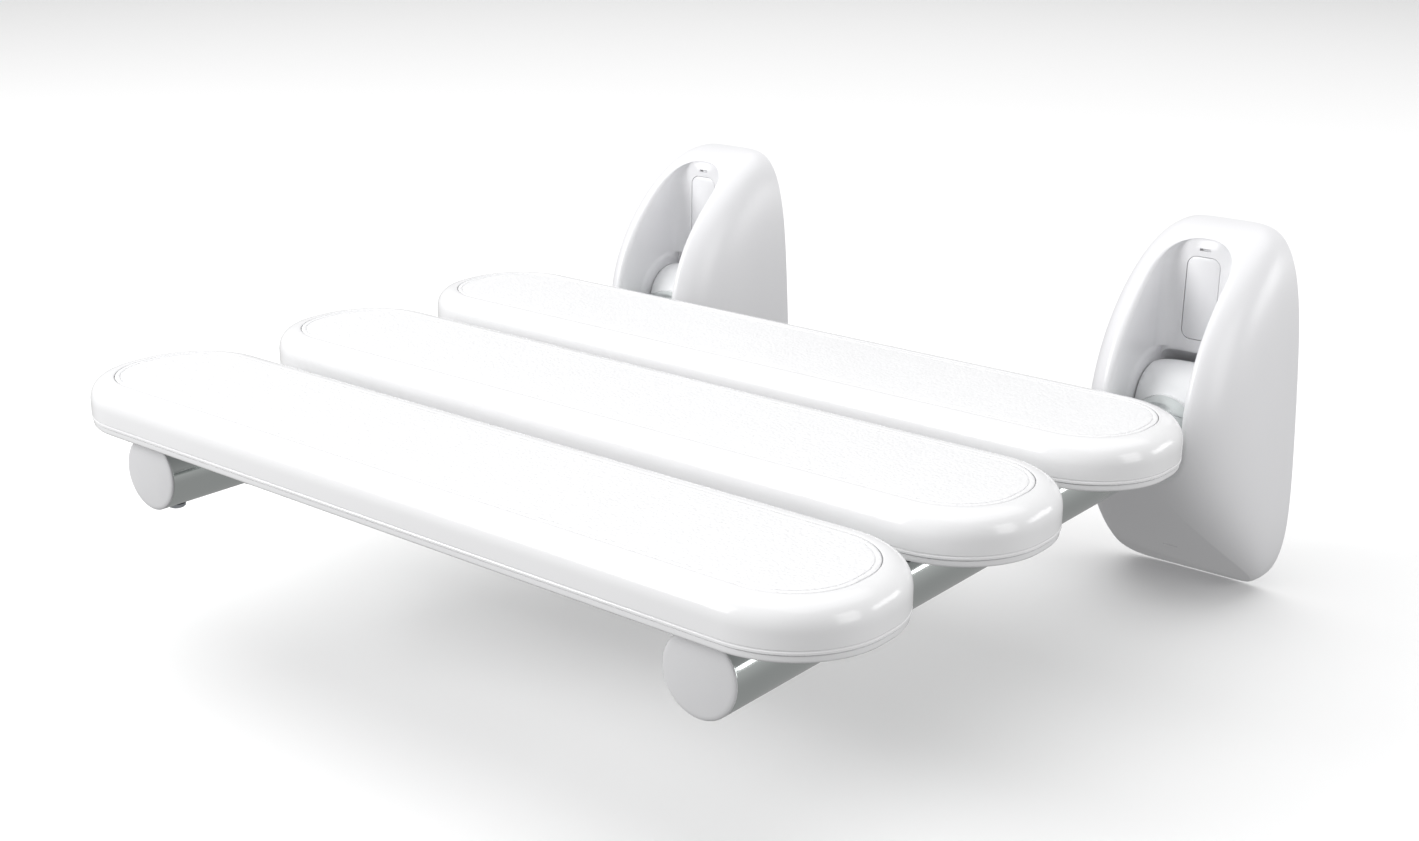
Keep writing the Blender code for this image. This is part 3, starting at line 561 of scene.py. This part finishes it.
def modified(mesh, *steps, full=()):
    """The mesh after modifiers; each step is (kind, settings), and a setting may be a mesh.

    Full lists the vertices that go in a group of that name.
    """
    obj = bpy.data.objects.new("work", mesh)
    bpy.context.scene.collection.objects.link(obj)
    obj.vertex_groups.new(name="full").add(list(full), 1.0, "REPLACE")
    tools = []
    for kind, settings in steps:
        modifier = obj.modifiers.new(kind.title(), kind)
        for key, value in settings.items():
            if isinstance(value, bpy.types.Mesh):
                value = bpy.data.objects.new("tool", value)
                bpy.context.scene.collection.objects.link(value)
                tools.append(value)
            setattr(modifier, key, value)
    bpy.context.view_layer.update()
    depsgraph = bpy.context.evaluated_depsgraph_get()
    result = bpy.data.meshes.new_from_object(obj.evaluated_get(depsgraph))
    for item in (obj, *tools):
        bpy.data.objects.remove(item, do_unlink=True)
    return result


def piece(node, mesh, body, slot, smooth_to=38):
    """Puts a finished mesh in the scene in place of a frame node."""
    name = f"{node}_finished"
    mesh.name = name
    mesh.materials.clear()
    mesh.materials.append(finish_of(slot))
    mesh.shade_smooth()
    mesh.set_sharp_from_angle(angle=math.radians(smooth_to))
    obj = bpy.data.objects.new(name, mesh)
    bpy.context.scene.collection.objects.link(obj)
    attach(obj, body)
    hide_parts(node)
    return obj


def softened(node, body, slot, width, segments=2):
    """A frame node's own shape with its sharp edges rounded, for parts with plain faces."""
    mesh = cleaned(frame["nodes"][node].data.copy(), outward=False)
    mesh = modified(mesh, ("BEVEL", {
        "width": width, "segments": segments, "limit_method": "ANGLE",
        "angle_limit": math.radians(40), "use_clamp_overlap": True,
    }))
    return piece(node, mesh, body, slot)


# Slats
def slat_shell(node, settings):
    """The upper moulding: a soft outer edge, a lip at its foot and a pocket for the inlay.

    The edge is a quarter of a superellipse of power 2.3, flatter than a circle where it meets
    the side and the top.
    """
    low, high = node_box(node)
    half = (high - low) / 2
    bottom, top = low[2], high[2]
    reach = settings.edge
    angle = np.linspace(0, np.pi / 2, 19)
    power = 2 / 2.3
    inset = reach * (1 - np.cos(angle) ** power)
    height = top - reach * (1 - np.sin(angle) ** power)
    edge = np.stack([inset, height], axis=-1).tolist()
    ceiling = top - SLAT_SKIN
    profile = [[0.0130, ceiling], [0.0034, ceiling - 0.0052], [0.0026, ceiling - 0.0064]]
    profile += [[SLAT_WALL, bottom + 0.0003], [SLAT_WALL - 0.0003, bottom]]
    profile += [[0.0003, bottom], [0.0, bottom + 0.0003], [0.0, bottom + 0.0011]]
    profile += [[0.00025, bottom + 0.0014], [0.00025, bottom + 0.0018], [0.0, bottom + 0.0021]]
    profile += edge
    groove = reach + 0.0003
    profile += [[groove - 0.0002, top - 0.00002]]
    profile += [[groove, top - 0.0002], [groove + 0.00005, top - 0.0015]]
    outline = rounded_outline(half[0], half[1], settings.corner)
    return carried(node, outline, profile, (low + high)[:2] / 2)


def slat_inlay(node, settings):
    """The top panel: a rounded rim, a smooth border, a fine step, and the grained field."""
    shell = node.replace("inlay", "shell")
    low, high = node_box(shell)
    half = (high - low) / 2
    bottom, top = node_box(node)[0][2], high[2]
    start = settings.edge + INLAY_GAP
    field = start + settings.border
    profile = [[start, bottom], [start, top - 0.0004], [start + 0.0001, top - 0.00018]]
    profile += [[start + 0.0004, top - 0.00002], [field - 0.0003, top]]
    profile += [[field - 0.0001, top - 0.0001], [field, top - 0.00045]]
    profile += [[field + 0.0004, top - 0.00045], [field + 0.0005, top - 0.00012]]
    profile += [[field + 0.0009, top - 0.00002], [field + 0.0016, top]]
    outline = rounded_outline(half[0], half[1], settings.corner)
    return carried(node, outline, profile, (low + high)[:2] / 2)


def slat_base(node, settings):
    """The lower moulding: a plate with a rounded foot, stiffening beads and pad pockets."""
    shell = node.replace("base", "shell")
    low, high = node_box(shell)
    bottom = node_box(node)[0][2]
    half = (high - low) / 2
    top = low[2] - FIT_GAP
    side = BASE_SETBACK
    profile = [[0.0120, bottom], [0.0114, bottom + 0.0008], [0.0086, bottom + 0.0008]]
    profile += [[0.0080, bottom], [side + 0.0012, bottom]]
    profile += [[side + 0.0005, bottom + 0.0002], [side + 0.0001, bottom + 0.0007]]
    profile += [[side, bottom + 0.0012], [side, top - 0.0002], [side + 0.0003, top]]
    outline = rounded_outline(half[0], half[1], settings.corner)
    mesh = carried(node, outline, profile, (low + high)[:2] / 2)
    cutters = []
    for name in SIDES:
        pad_low, pad_high = node_box(node.replace("slat_base", f"saddle_pad_{name}"))
        under = np.array([pad_low[0], pad_low[1], bottom - 0.004])
        cutters.append(box_mesh(under - PAD_MARGIN, pad_high + PAD_MARGIN))
    return modified(mesh, ("BOOLEAN", {
        "object": joined(cutters), "operation": "DIFFERENCE", "solver": "EXACT",
    }))


class MakeSlats(bpy.types.Operator):
    """Make the three slats: shell, inlay and base"""

    bl_idname = "shower_seat.slats"
    bl_label = "Slats"

    def execute(self, context):
        settings = context.scene.shower_slats
        for name in SLATS:
            node = f"{name}_slat_shell"
            piece(node, slat_shell(node, settings), SEAT_BODY, "gloss_white")
            node = f"{name}_slat_inlay"
            piece(node, slat_inlay(node, settings), SEAT_BODY, "grained_white")
            node = f"{name}_slat_base"
            piece(node, slat_base(node, settings), SEAT_BODY, "gloss_white")
        return {"FINISHED"}


class MakeSaddlePads(bpy.types.Operator):
    """Make the rubber pads between the slats and the arm tubes"""

    bl_idname = "shower_seat.saddle_pads"
    bl_label = "Saddle pads"

    def execute(self, context):
        for name in SLATS:
            for side in SIDES:
                softened(f"{name}_saddle_pad_{side}", SEAT_BODY, "black_rubber", 0.0005)
        return {"FINISHED"}


# Arms
def arm_tube(node, settings):
    """The hollow tube: an outer and an inner wall joined by a small rounding at both ends."""
    low, high = node_box(node)
    centre = (low + high) / 2
    radius = (high[0] - low[0]) / 2
    lip = settings.tube_lip
    front, back = low[1], high[1]
    profile = arc((radius - lip, front + lip), lip, -90, 0, 4)
    profile += [[radius, part] for part in np.linspace(front + 0.02, back - 0.02, 9)]
    profile += arc((radius - lip, back - lip), lip, 0, 90, 4)
    inner = radius - TUBE_WALL
    profile += arc((inner + lip, back - lip), lip, 90, 180, 4)
    profile += arc((inner + lip, front + lip), lip, 180, 270, 4)
    return turned_surface(node, profile, origin=(centre[0], 0.0, centre[2]), loop=True)


def end_cap(node, settings):
    """The cap: a dome that is an arc of a large circle, a rounded edge and a ribbed plug."""
    low, high = node_box(node)
    centre = (low + high) / 2
    radius = (high[0] - low[0]) / 2
    face, back = low[1], high[1]
    edge = settings.cap_edge
    rim = face + CAP_DOME
    part = np.linspace(0, 1, 14)
    profile = np.stack([(radius - edge) * part, face + 0.9 * CAP_DOME * part ** 2], axis=-1).tolist()
    profile += arc((radius - edge, rim + edge), edge, -75, 0, 5)
    lip = node_box("arm_tube_left")[0][1] - FIT_GAP
    profile += [[radius, lip - 0.0002], [radius - 0.0002, lip]]
    plug = radius - CAP_PLUG_INSET
    valley = plug - CAP_RIB
    depth = back - lip
    profile += [[valley, lip + 0.0001]]
    for rib in np.linspace(0.15, 0.80, CAP_RIBS):
        middle = lip + rib * depth
        profile += [[valley, middle - 0.0005], [plug, middle], [valley, middle + 0.0005]]
    profile += [[plug - 0.0012, back], [0.0, back]]
    return turned_surface(node, profile, origin=(centre[0], 0.0, centre[2]))


class MakeArms(bpy.types.Operator):
    """Make the arm tubes and their end caps"""

    bl_idname = "shower_seat.arms"
    bl_label = "Arms"

    def execute(self, context):
        settings = context.scene.shower_arms
        for side in SIDES:
            node = f"arm_tube_{side}"
            piece(node, arm_tube(node, settings), SEAT_BODY, "polished_steel")
            node = f"end_cap_{side}"
            piece(node, end_cap(node, settings), SEAT_BODY, "matt_grey")
        return {"FINISHED"}


# Screws
def screw_head(radius, thickness, recess=0.55):
    """Points on a pan head with a cross recess, ring by ring from its middle.

    The head's height over a point is a dome that falls with the fourth power of the radius, less
    a recess wherever the point is near one of two crossing lines and inside a smaller circle.
    """
    rings = np.linspace(0, 1, 20)[:, None]
    angle = 2 * np.pi * np.arange(64)[None] / 64
    x = radius * rings * np.cos(angle)
    y = radius * rings * np.sin(angle)
    dome = thickness * (1 - 0.45 * rings ** 4) * np.ones_like(x)
    near = np.minimum(np.abs(x), np.abs(y))
    arm = np.clip((0.17 * radius - near) / (0.06 * radius), 0, 1)
    inside = np.clip((recess * radius - np.hypot(x, y)) / (0.08 * radius), 0, 1)
    return np.stack([x, y, dome - 0.55 * thickness * arm * inside], axis=-1)


def screw(node, axis):
    """A pan-head screw: the head, its seat, and a shank with ring-shaped threads and a point.

    The axis is a unit vector from the seat of the head outwards.
    """
    low, high = node_box(node)
    centre = (low + high) / 2
    along = int(np.argmax(np.abs(axis)))
    sign = float(np.sign(axis[along]))
    across = [i for i in range(3) if i != along]
    radius = (high[across[0]] - low[across[0]]) / 2
    tip_to_top = high[along] - low[along]
    thickness = 0.0024 if radius > LARGE_HEAD else 0.0016
    head = screw_head(radius, thickness)
    steps = head.shape[1]
    angle = 2 * np.pi * np.arange(steps) / steps
    length = tip_to_top - thickness
    rows = [(radius, 0.0), (SCREW_SHANK, 0.0)]
    turns = int(length / SCREW_PITCH)
    for turn in range(1, turns):
        thread = SCREW_SHANK if turn % 2 else SCREW_SHANK - SCREW_THREAD
        rows.append((thread, -turn * SCREW_PITCH))
    rows += [(SCREW_SHANK - 2 * SCREW_THREAD, -length + 0.0004), (0.0, -length)]
    rows = np.array(rows)
    body = np.stack([
        rows[:, :1] * np.cos(angle),
        rows[:, :1] * np.sin(angle),
        np.repeat(rows[:, 1:], steps, axis=1),
    ], axis=-1)
    points = np.concatenate([head, body])
    placed = np.empty_like(points)
    placed[..., across[0]] = points[..., 0] + centre[across[0]]
    placed[..., across[1]] = points[..., 1] + centre[across[1]]
    outer = high[along] if sign > 0 else low[along]
    placed[..., along] = outer + sign * (points[..., 2] - thickness)
    return grid_mesh(node, placed)


class MakeScrews(bpy.types.Operator):
    """Make the slat screws, grub screws and cover screws"""

    bl_idname = "shower_seat.screws"
    bl_label = "Screws"

    def execute(self, context):
        for side in SIDES:
            for name in SLATS:
                for end in "ab":
                    node = f"{name}_slat_screw_{side}_{end}"
                    mesh = screw(node, np.array([0.0, 0.0, -1.0]))
                    piece(node, mesh, SEAT_BODY, "plated_steel")
            node = f"cover_screw_{side}"
            piece(node, screw(node, np.array([0.0, -1.0, 0.0])), WALL_BODY, "plated_steel")
            softened(f"grub_screw_{side}", SEAT_BODY, "plated_steel", 0.0002)
        return {"FINISHED"}


# Hinges
class MakeHinges(bpy.types.Operator):
    """Make the brackets, knuckles, pins, rings and bushes with softened edges"""

    bl_idname = "shower_seat.hinges"
    bl_label = "Hinges"

    def execute(self, context):
        for side in SIDES:
            softened(f"wall_bracket_{side}", WALL_BODY, "plated_steel", 0.0006)
            softened(f"hinge_pin_{side}", WALL_BODY, "polished_steel", 0.0002)
            softened(f"retaining_ring_{side}", WALL_BODY, "plated_steel", 0.0001)
            softened(f"arm_knuckle_{side}", SEAT_BODY, "painted_casting", 0.0008, 3)
            for end in "ab":
                softened(f"hinge_bush_{side}_{end}", SEAT_BODY, "natural_nylon", 0.0002)
        return {"FINISHED"}


# Wall covers
class CoverForm:
    """The outer form of a wall cover, as a function of height and of a turn from side to side.

    With s from -1 at the foot to 1 at the head, the half width and the depth are each a parabola
    in s times (1 - |s|^p)^(1/p). A level section is half a superellipse of power q: a point at
    turn a has x = width * cos(a)^(2/q) and y = -depth * sin(a)^(2/q).
    """

    section = 3.2
    width_power = 4.7
    depth_power = 2.05
    width_terms = (0.0462, -0.0060, -0.0018)
    depth_terms = (0.0900, 0.0130, -0.0290)

    def __init__(self, x):
        self.x = x
        self.middle = (COVER_LOW[2] + COVER_HIGH[2]) / 2
        self.half_height = (COVER_HIGH[2] - COVER_LOW[2]) / 2

    def width(self, s):
        return self.closed(s, self.width_terms, self.width_power)

    def depth(self, s):
        return self.closed(s, self.depth_terms, self.depth_power)

    def height(self, s):
        return self.middle + self.half_height * s

    def closed(self, s, terms, power):
        """A parabola in s that closes to nothing at both ends."""
        closing = np.clip(1 - np.abs(s) ** power, 0, 1) ** (1 / power)
        return (terms[0] + terms[1] * s + terms[2] * s * s) * closing

    def point(self, s, turn):
        """The point on the form at a height and turn, with x from the cover's own middle."""
        across = np.sign(np.cos(turn)) * np.abs(np.cos(turn)) ** (2 / self.section)
        out = np.abs(np.sin(turn)) ** (2 / self.section)
        return self.width(s) * across, -self.depth(s) * out, self.height(s)

    def turn(self, x, z):
        """The height s and turn of the form's front point over (x, z)."""
        s = (z - self.middle) / self.half_height
        share = np.clip(np.abs(x) / np.maximum(self.width(s), 1e-6), 0, 1)
        return s, np.arccos(np.sign(x) * share ** (self.section / 2))

    def front(self, x, z):
        """How far forward the form is over (x, z)."""
        s, turn = self.turn(x, z)
        return self.point(s, turn)[1]


RECESS_HALF = 0.020
RECESS_HEAD = 0.0935
RECESS_BACK = -0.0295
HUB_ROOM = 0.027
BOSS_RISE = 0.0008
BOSS_SLOPE = 0.0026
MOUTH_POWER = 2.6
# Above this height the lip over the recess is too sharp for the full wall
LIP_START = 0.0870
LIP_SHARE = 0.1


def recess_loop(steps=280):
    """Points round the mouth of the recess as (x, z), with outward normals and sides' shares.

    The mouth is two halves of a superellipse of power 2.6 joined by straight sides. The share
    runs from 0 at the bottom middle to 1 at the top middle, on both sides.
    """
    fine = 4000  # steps for measuring the length round
    half_turn = np.linspace(-np.pi / 2, np.pi / 2, fine)
    power = 2 / MOUTH_POWER
    x = RECESS_HALF * np.abs(np.cos(half_turn)) ** power
    rise = RECESS_HALF * np.sign(np.sin(half_turn)) * np.abs(np.sin(half_turn)) ** power
    top = RECESS_HEAD - RECESS_HALF
    z = np.where(half_turn > 0, rise + top, rise)
    length = np.concatenate([[0], np.cumsum(np.hypot(np.diff(x), np.diff(z)))])
    share = np.linspace(0, 1, steps // 2 + 1)
    x = np.interp(share * length[-1], length, x)
    z = np.interp(share * length[-1], length, z)
    x[0] = x[-1] = 0.0
    loop_x = np.concatenate([x, -x[-2:0:-1]])
    loop_z = np.concatenate([z, z[-2:0:-1]])
    shares = np.concatenate([share, share[-2:0:-1]])
    slope_x = np.roll(loop_x, -1) - np.roll(loop_x, 1)
    slope_z = np.roll(loop_z, -1) - np.roll(loop_z, 1)
    size = np.hypot(slope_x, slope_z)
    return loop_x, loop_z, slope_z / size, -slope_x / size, shares


def recess_floor(z):
    """The back of the recess: flat, then a round hollow behind the hub, about the fold axis."""
    reach = np.sqrt(np.clip(HUB_ROOM ** 2 - (z - FOLD[2]) ** 2, 0, None))
    hollow = FOLD[1] + reach
    return soft_max(np.full_like(z, RECESS_BACK), np.where(reach > 0, hollow, RECESS_BACK - 0.01))


def soft_max(a, b, width=0.0006):
    """The larger of two values, with the corner between them rounded off."""
    return (a + b + np.sqrt((a - b) ** 2 + width ** 2)) / 2


def boss_rise(y, z):
    """How far the recess wall stands in round the hub: a flat round with a sloping rim."""
    away = np.hypot(y - FOLD[1], z - FOLD[2])
    part = np.clip((HUB_ROOM - away) / BOSS_SLOPE, 0, 1)
    return BOSS_RISE * part * part * (3 - 2 * part)


def cover_rows(form, settings):
    """Rows of points from the cover's back edge over its front and down into the recess.

    Each row goes once round. The first rows run over the outer form, between the back edge and a
    ring just outside the mouth. The next round the mouth over with a quarter circle. Then come
    the recess wall, the hollow rounding at its foot, and the back, which shrinks to the upright
    middle line of the recess. Where the outer form lies behind the recess's back, near the head,
    the wall has no height and these rows follow the form.
    """
    x, z, normal_x, normal_z, share = recess_loop()
    floor = recess_floor(z)
    deep = np.clip(floor - form.front(x, z), 0, None)
    rim = np.clip(0.45 * deep, 0.0002, settings.rim)
    cove = np.clip(0.45 * deep, 0.0002, settings.cove)
    ring_s, ring_turn = form.turn(x + normal_x * rim, z + normal_z * rim)
    ring_tau = np.sign(ring_s) * (1 - (1 - np.abs(ring_s)) ** (1 / 3))
    edge_tau = 2 * share - 1
    right = np.arange(len(x)) <= len(x) // 2
    edge_turn = np.where(right, 0.0, np.pi)
    rows = []
    for part in np.linspace(0, 1, 49)[:-1]:
        tau = edge_tau + (ring_tau - edge_tau) * part
        turn = edge_turn + (ring_turn - edge_turn) * part ** 1.6
        s = np.sign(tau) * (1 - (1 - np.abs(tau)) ** 3)
        rows.append(np.stack(form.point(s, turn), axis=-1))
    for part in np.linspace(1, 0, 10):
        out = rim * part
        here_x = x + normal_x * out
        here_z = z + normal_z * out
        drop = rim * (1 - np.sqrt(np.clip(1 - (1 - part) ** 2, 0, 1)))
        rows.append(np.stack([here_x, form.front(here_x, here_z) + drop, here_z], axis=-1))
    top = rows[-1][:, 1]
    foot = np.maximum(floor - cove, top)
    for part in np.linspace(0, 1, 50)[1:]:
        y = top + (foot - top) * part
        inward = boss_rise(y, z) * np.abs(normal_x)
        rows.append(np.stack([x - np.sign(x) * inward, y, z], axis=-1))
    for angle in np.linspace(0, np.pi / 2, 9)[1:]:
        inset = cove * (1 - np.cos(angle))
        here_x = x - normal_x * inset
        here_z = z - normal_z * inset
        y = foot + cove * np.sin(angle)
        inward = boss_rise(y, here_z) * np.abs(normal_x)
        rows.append(np.stack([here_x - np.sign(here_x) * inward, y, here_z], axis=-1))
    last = rows[-1]
    middle_z = np.clip(last[:, 2], 0.0, RECESS_HEAD - RECESS_HALF)
    for part in np.linspace(0, 1, 16)[1:]:
        here_x = last[:, 0] * (1 - part)
        here_z = last[:, 2] + (middle_z - last[:, 2]) * part
        y = soft_max(recess_floor(here_z), form.front(here_x, here_z))
        fade = np.clip(part * 4, 0, 1)
        rows.append(np.stack([here_x, last[:, 1] * (1 - fade) + y * fade, here_z], axis=-1))
    points = np.array(rows)
    points[..., 0] += form.x
    return points


def pivot_slot(low_x, high_x, radius, back):
    """A slot along the fold axis to cut with: a half circle about the axis, open to the back."""
    angle = np.radians(np.linspace(90, 270, 25))
    y = np.concatenate([[back], FOLD[1] + radius * np.cos(angle), [back]])
    z = FOLD[2] + radius * np.concatenate([[1.0], np.sin(angle), [-1.0]])
    rows = [np.stack([np.full_like(y, x), y, z], axis=-1) for x in (low_x, high_x)]
    return grid_mesh("slot", np.array(rows), capped=(True, True))


def cover_cutters(form, settings):
    """What is cut from the cover: room for the heel, bushes and hub, the lid's seat, two slots."""
    x = form.x
    pry_half, pry_low, pry_high = PRY_SLOT
    release_half, release_front, release_back = RELEASE_SLOT
    cutters = [
        box_mesh(
            (x - HEEL_HALF, FOLD[1] - HEEL_REACH, HEEL_LOW), (x + HEEL_HALF, 0.002, HEEL_HIGH)
        ),
        box_mesh(
            (x - pry_half, RECESS_BACK - 0.0065, pry_low),
            (x + pry_half, RECESS_BACK + 0.0020, pry_high),
        ),
        box_mesh(
            (x - release_half, release_front, COVER_LOW[2] - 0.001),
            (x + release_half, release_back, -0.060),
        ),
    ]
    for sign in (-1, 1):
        inner, outer = sorted(x + sign * end for end in BUSH_ROOM_ENDS)
        cutters.append(pivot_slot(inner, outer, BUSH_ROOM, -0.005))
    hub_room = (x - HUB_ROOM_HALF, x + HUB_ROOM_HALF, HUB_ROOM - 2 * FIT_GAP, FOLD[1] + 0.010)
    cutters.append(pivot_slot(*hub_room))
    lid_low, lid_high = node_box("screw_lid_right")
    half = (lid_high - lid_low) / 2 + settings.lid_gap
    outline = rounded_outline(half[0], half[2], LID_SEAT_CORNER, 8, 1)[0]
    lid_z = (lid_low + lid_high)[2] / 2
    rows = [
        [outline[:, 0] + x, np.full(len(outline), y), outline[:, 1] + lid_z]
        for y in (RECESS_BACK - 0.004, RECESS_BACK + 0.0016)
    ]
    points = np.array(rows).transpose(0, 2, 1)
    cutters.append(grid_mesh("lid_seat", points, capped=(True, True)))
    return cutters


def wall_cover(node, settings):
    """The whole cover: the outer surface, its wall thickness, and what is cut from it.

    The wall is thin at the sharp lip over the recess, where a full wall would show through the
    front. The back edge is pressed flat against the wall plane.
    """
    low, high = node_box(node)
    form = CoverForm((low + high)[0] / 2)
    mesh = grid_mesh(node, cover_rows(form, settings))
    place = np.empty(len(mesh.vertices) * 3)
    mesh.vertices.foreach_get("co", place)
    x, y, z = place.reshape(-1, 3).T
    near = (np.abs(x - form.x) < RECESS_HALF + 0.001) & (z < RECESS_HEAD + 0.003)
    lip = near & (((z > LIP_START) & (y < RECESS_BACK - 0.0002)) | (z > LIP_START + 0.0023))
    solid = modified(mesh, ("SOLIDIFY", {
        "thickness": settings.wall, "offset": -1.0, "use_rim": True,
        "vertex_group": "full", "thickness_vertex_group": LIP_SHARE,
    }), full=np.flatnonzero(~lip).tolist())
    place = np.empty(len(solid.vertices) * 3)
    solid.vertices.foreach_get("co", place)
    place[1::3] = np.minimum(place[1::3], 0.0)
    solid.vertices.foreach_set("co", place)
    cuts = [
        ("BOOLEAN", {"object": cutter, "operation": "DIFFERENCE", "solver": "EXACT"})
        for cutter in cover_cutters(form, settings)
    ]
    return modified(solid, *cuts)


def screw_lid(node):
    """The lid: a thin strip with round corners and a softly rounded front edge."""
    low, high = node_box(node)
    half = (high - low) / 2
    points, normals = rounded_outline(half[0], half[2], LID_CORNER, 10, 2)
    profile = np.array([
        [0.0004, high[1]], [0.0, high[1] - 0.0002], [0.0, low[1] + 0.0004],
        [0.0001, low[1] + 0.00015], [0.0004, low[1]],
    ])
    flat = points[None] - normals[None] * profile[:, 0, None, None]
    middle = (low + high) / 2
    depth = np.repeat(profile[:, 1, None], len(points), axis=1)
    grid = np.stack([flat[..., 0] + middle[0], depth, flat[..., 1] + middle[2]], axis=-1)
    return grid_mesh(node, grid, capped=(True, True))


class MakeCovers(bpy.types.Operator):
    """Make the two wall covers and their screw lids"""

    bl_idname = "shower_seat.covers"
    bl_label = "Wall covers"

    def execute(self, context):
        settings = context.scene.shower_covers
        for side in SIDES:
            node = f"wall_cover_{side}"
            piece(node, wall_cover(node, settings), WALL_BODY, "satin_white")
            node = f"screw_lid_{side}"
            piece(node, screw_lid(node), WALL_BODY, "satin_white")
        return {"FINISHED"}


# Stage
def softbox(name, place, aim, size, power):
    """A soft rectangular light at a place, aimed at a point."""
    light = bpy.data.lights.new(name, "AREA")
    light.shape = "RECTANGLE"
    light.size, light.size_y = size
    light.energy = power
    obj = bpy.data.objects.new(name, light)
    obj.location = place
    obj.rotation_euler = (Vector(aim) - Vector(place)).to_track_quat("-Z", "Y").to_euler()
    bpy.context.scene.collection.objects.link(obj)


def studio_floor(code):
    """A level floor just under the covers, large enough to fill the picture.

    It is hidden from bounced and mirrored light, which keeps the undersides grey.
    """
    level = COVER_LOW[2] - FLOOR_GAP
    part = np.linspace(-FLOOR_REACH, FLOOR_REACH, 13)
    x, y = np.meshgrid(part, part)
    points = np.stack([x, y, np.full_like(x, level)], axis=-1)
    mesh = grid_mesh("studio_floor", points, closed_columns=False)
    obj = bpy.data.objects.new("studio_floor", mesh)
    bpy.context.scene.collection.objects.link(obj)
    material, _, shader, _ = new_material("painted_floor", 0.9)
    shader.inputs["Base Color"].default_value = linear(code)
    shader.inputs["Specular IOR Level"].default_value = 0.1
    mesh.materials.append(material)
    obj.visible_diffuse = obj.visible_glossy = False


def camera_matrix(settings):
    """The camera's matrix from its place, azimuth, elevation and roll."""
    a, e, r = settings.azimuth, settings.elevation, settings.roll
    back = Vector((math.sin(a) * math.cos(e), -math.cos(a) * math.cos(e), math.sin(e)))
    right = Vector((0.0, 0.0, 1.0)).cross(back).normalized()
    up = back.cross(right)
    tilted_right = right * math.cos(r) + up * math.sin(r)
    tilted_up = up * math.cos(r) - right * math.sin(r)
    matrix = Matrix((tilted_right, tilted_up, back)).transposed().to_4x4()
    matrix.translation = Vector(settings.place)
    return matrix


class MakeStage(bpy.types.Operator):
    """Make the floor, the lights and the camera"""

    bl_idname = "shower_seat.stage"
    bl_label = "Stage"

    def execute(self, context):
        settings = context.scene.shower_stage
        camera = bpy.data.cameras.new("camera")
        camera.lens = settings.lens
        camera.sensor_width = 36.0
        camera.clip_start, camera.clip_end = 0.02, 50.0
        obj = bpy.data.objects.new("camera", camera)
        obj.matrix_world = camera_matrix(settings)
        context.scene.collection.objects.link(obj)
        context.scene.camera = obj
        world = bpy.data.worlds.new("studio_air")
        world.use_nodes = True
        tree = world.node_tree
        way = add_node(tree, "ShaderNodeTexCoord").outputs["Generated"]
        height = add_node(tree, "ShaderNodeSeparateXYZ", None, {0: way}).outputs["Z"]
        lift = add_node(
            tree, "ShaderNodeMapRange",
            {"From Min": -0.5, "From Max": 0.3, "To Min": 0.34, "To Max": 0.56},
            {"Value": height}, interpolation_type="SMOOTHSTEP",
        )
        background = tree.nodes["Background"]
        background.inputs["Color"].default_value = (1.0, 1.0, 1.0, 1.0)
        tree.links.new(lift.outputs["Result"], background.inputs["Strength"])
        context.scene.world = world
        studio_floor(settings.floor)
        middle = (0.0, -0.22, 0.0)
        for name, (place, aim, size, power) in LIGHTS.items():
            softbox(name, place, aim or middle, size, power)
        context.scene.view_settings.view_transform = "Standard"
        return {"FINISHED"}


# Add-on
SETTINGS = {
    "shower_slats": SlatSettings,
    "shower_arms": ArmSettings,
    "shower_covers": CoverSettings,
    "shower_stage": StageSettings,
}
OPERATORS = (
    MakeSlats, MakeSaddlePads, MakeArms, MakeScrews, MakeHinges, MakeCovers, MakeStage,
)


class ShowerSeatPanel(bpy.types.Panel):
    """Lists the makers of the shower seat's pieces and their settings"""

    bl_idname = "VIEW3D_PT_shower_seat"
    bl_label = "Shower seat"
    bl_space_type = "VIEW_3D"
    bl_region_type = "UI"
    bl_category = "Shower seat"

    def draw(self, context):
        for operator in OPERATORS:
            self.layout.operator(operator.bl_idname)
        for name, group in SETTINGS.items():
            box = self.layout.box()
            for key in group.__annotations__:
                box.prop(getattr(context.scene, name), key)


def register():
    for group in SETTINGS.values():
        bpy.utils.register_class(group)
    for operator in OPERATORS:
        bpy.utils.register_class(operator)
    bpy.utils.register_class(ShowerSeatPanel)
    for name, group in SETTINGS.items():
        setattr(bpy.types.Scene, name, bpy.props.PointerProperty(type=group))


def unregister():
    for name in SETTINGS:
        delattr(bpy.types.Scene, name)
    bpy.utils.unregister_class(ShowerSeatPanel)
    for operator in reversed(OPERATORS):
        bpy.utils.unregister_class(operator)
    for group in reversed(SETTINGS.values()):
        bpy.utils.unregister_class(group)


def main():
    register()
    for operator in OPERATORS:
        group, name = operator.bl_idname.split(".")
        getattr(getattr(bpy.ops, group), name)()


if __name__ == "__main__":
    main()
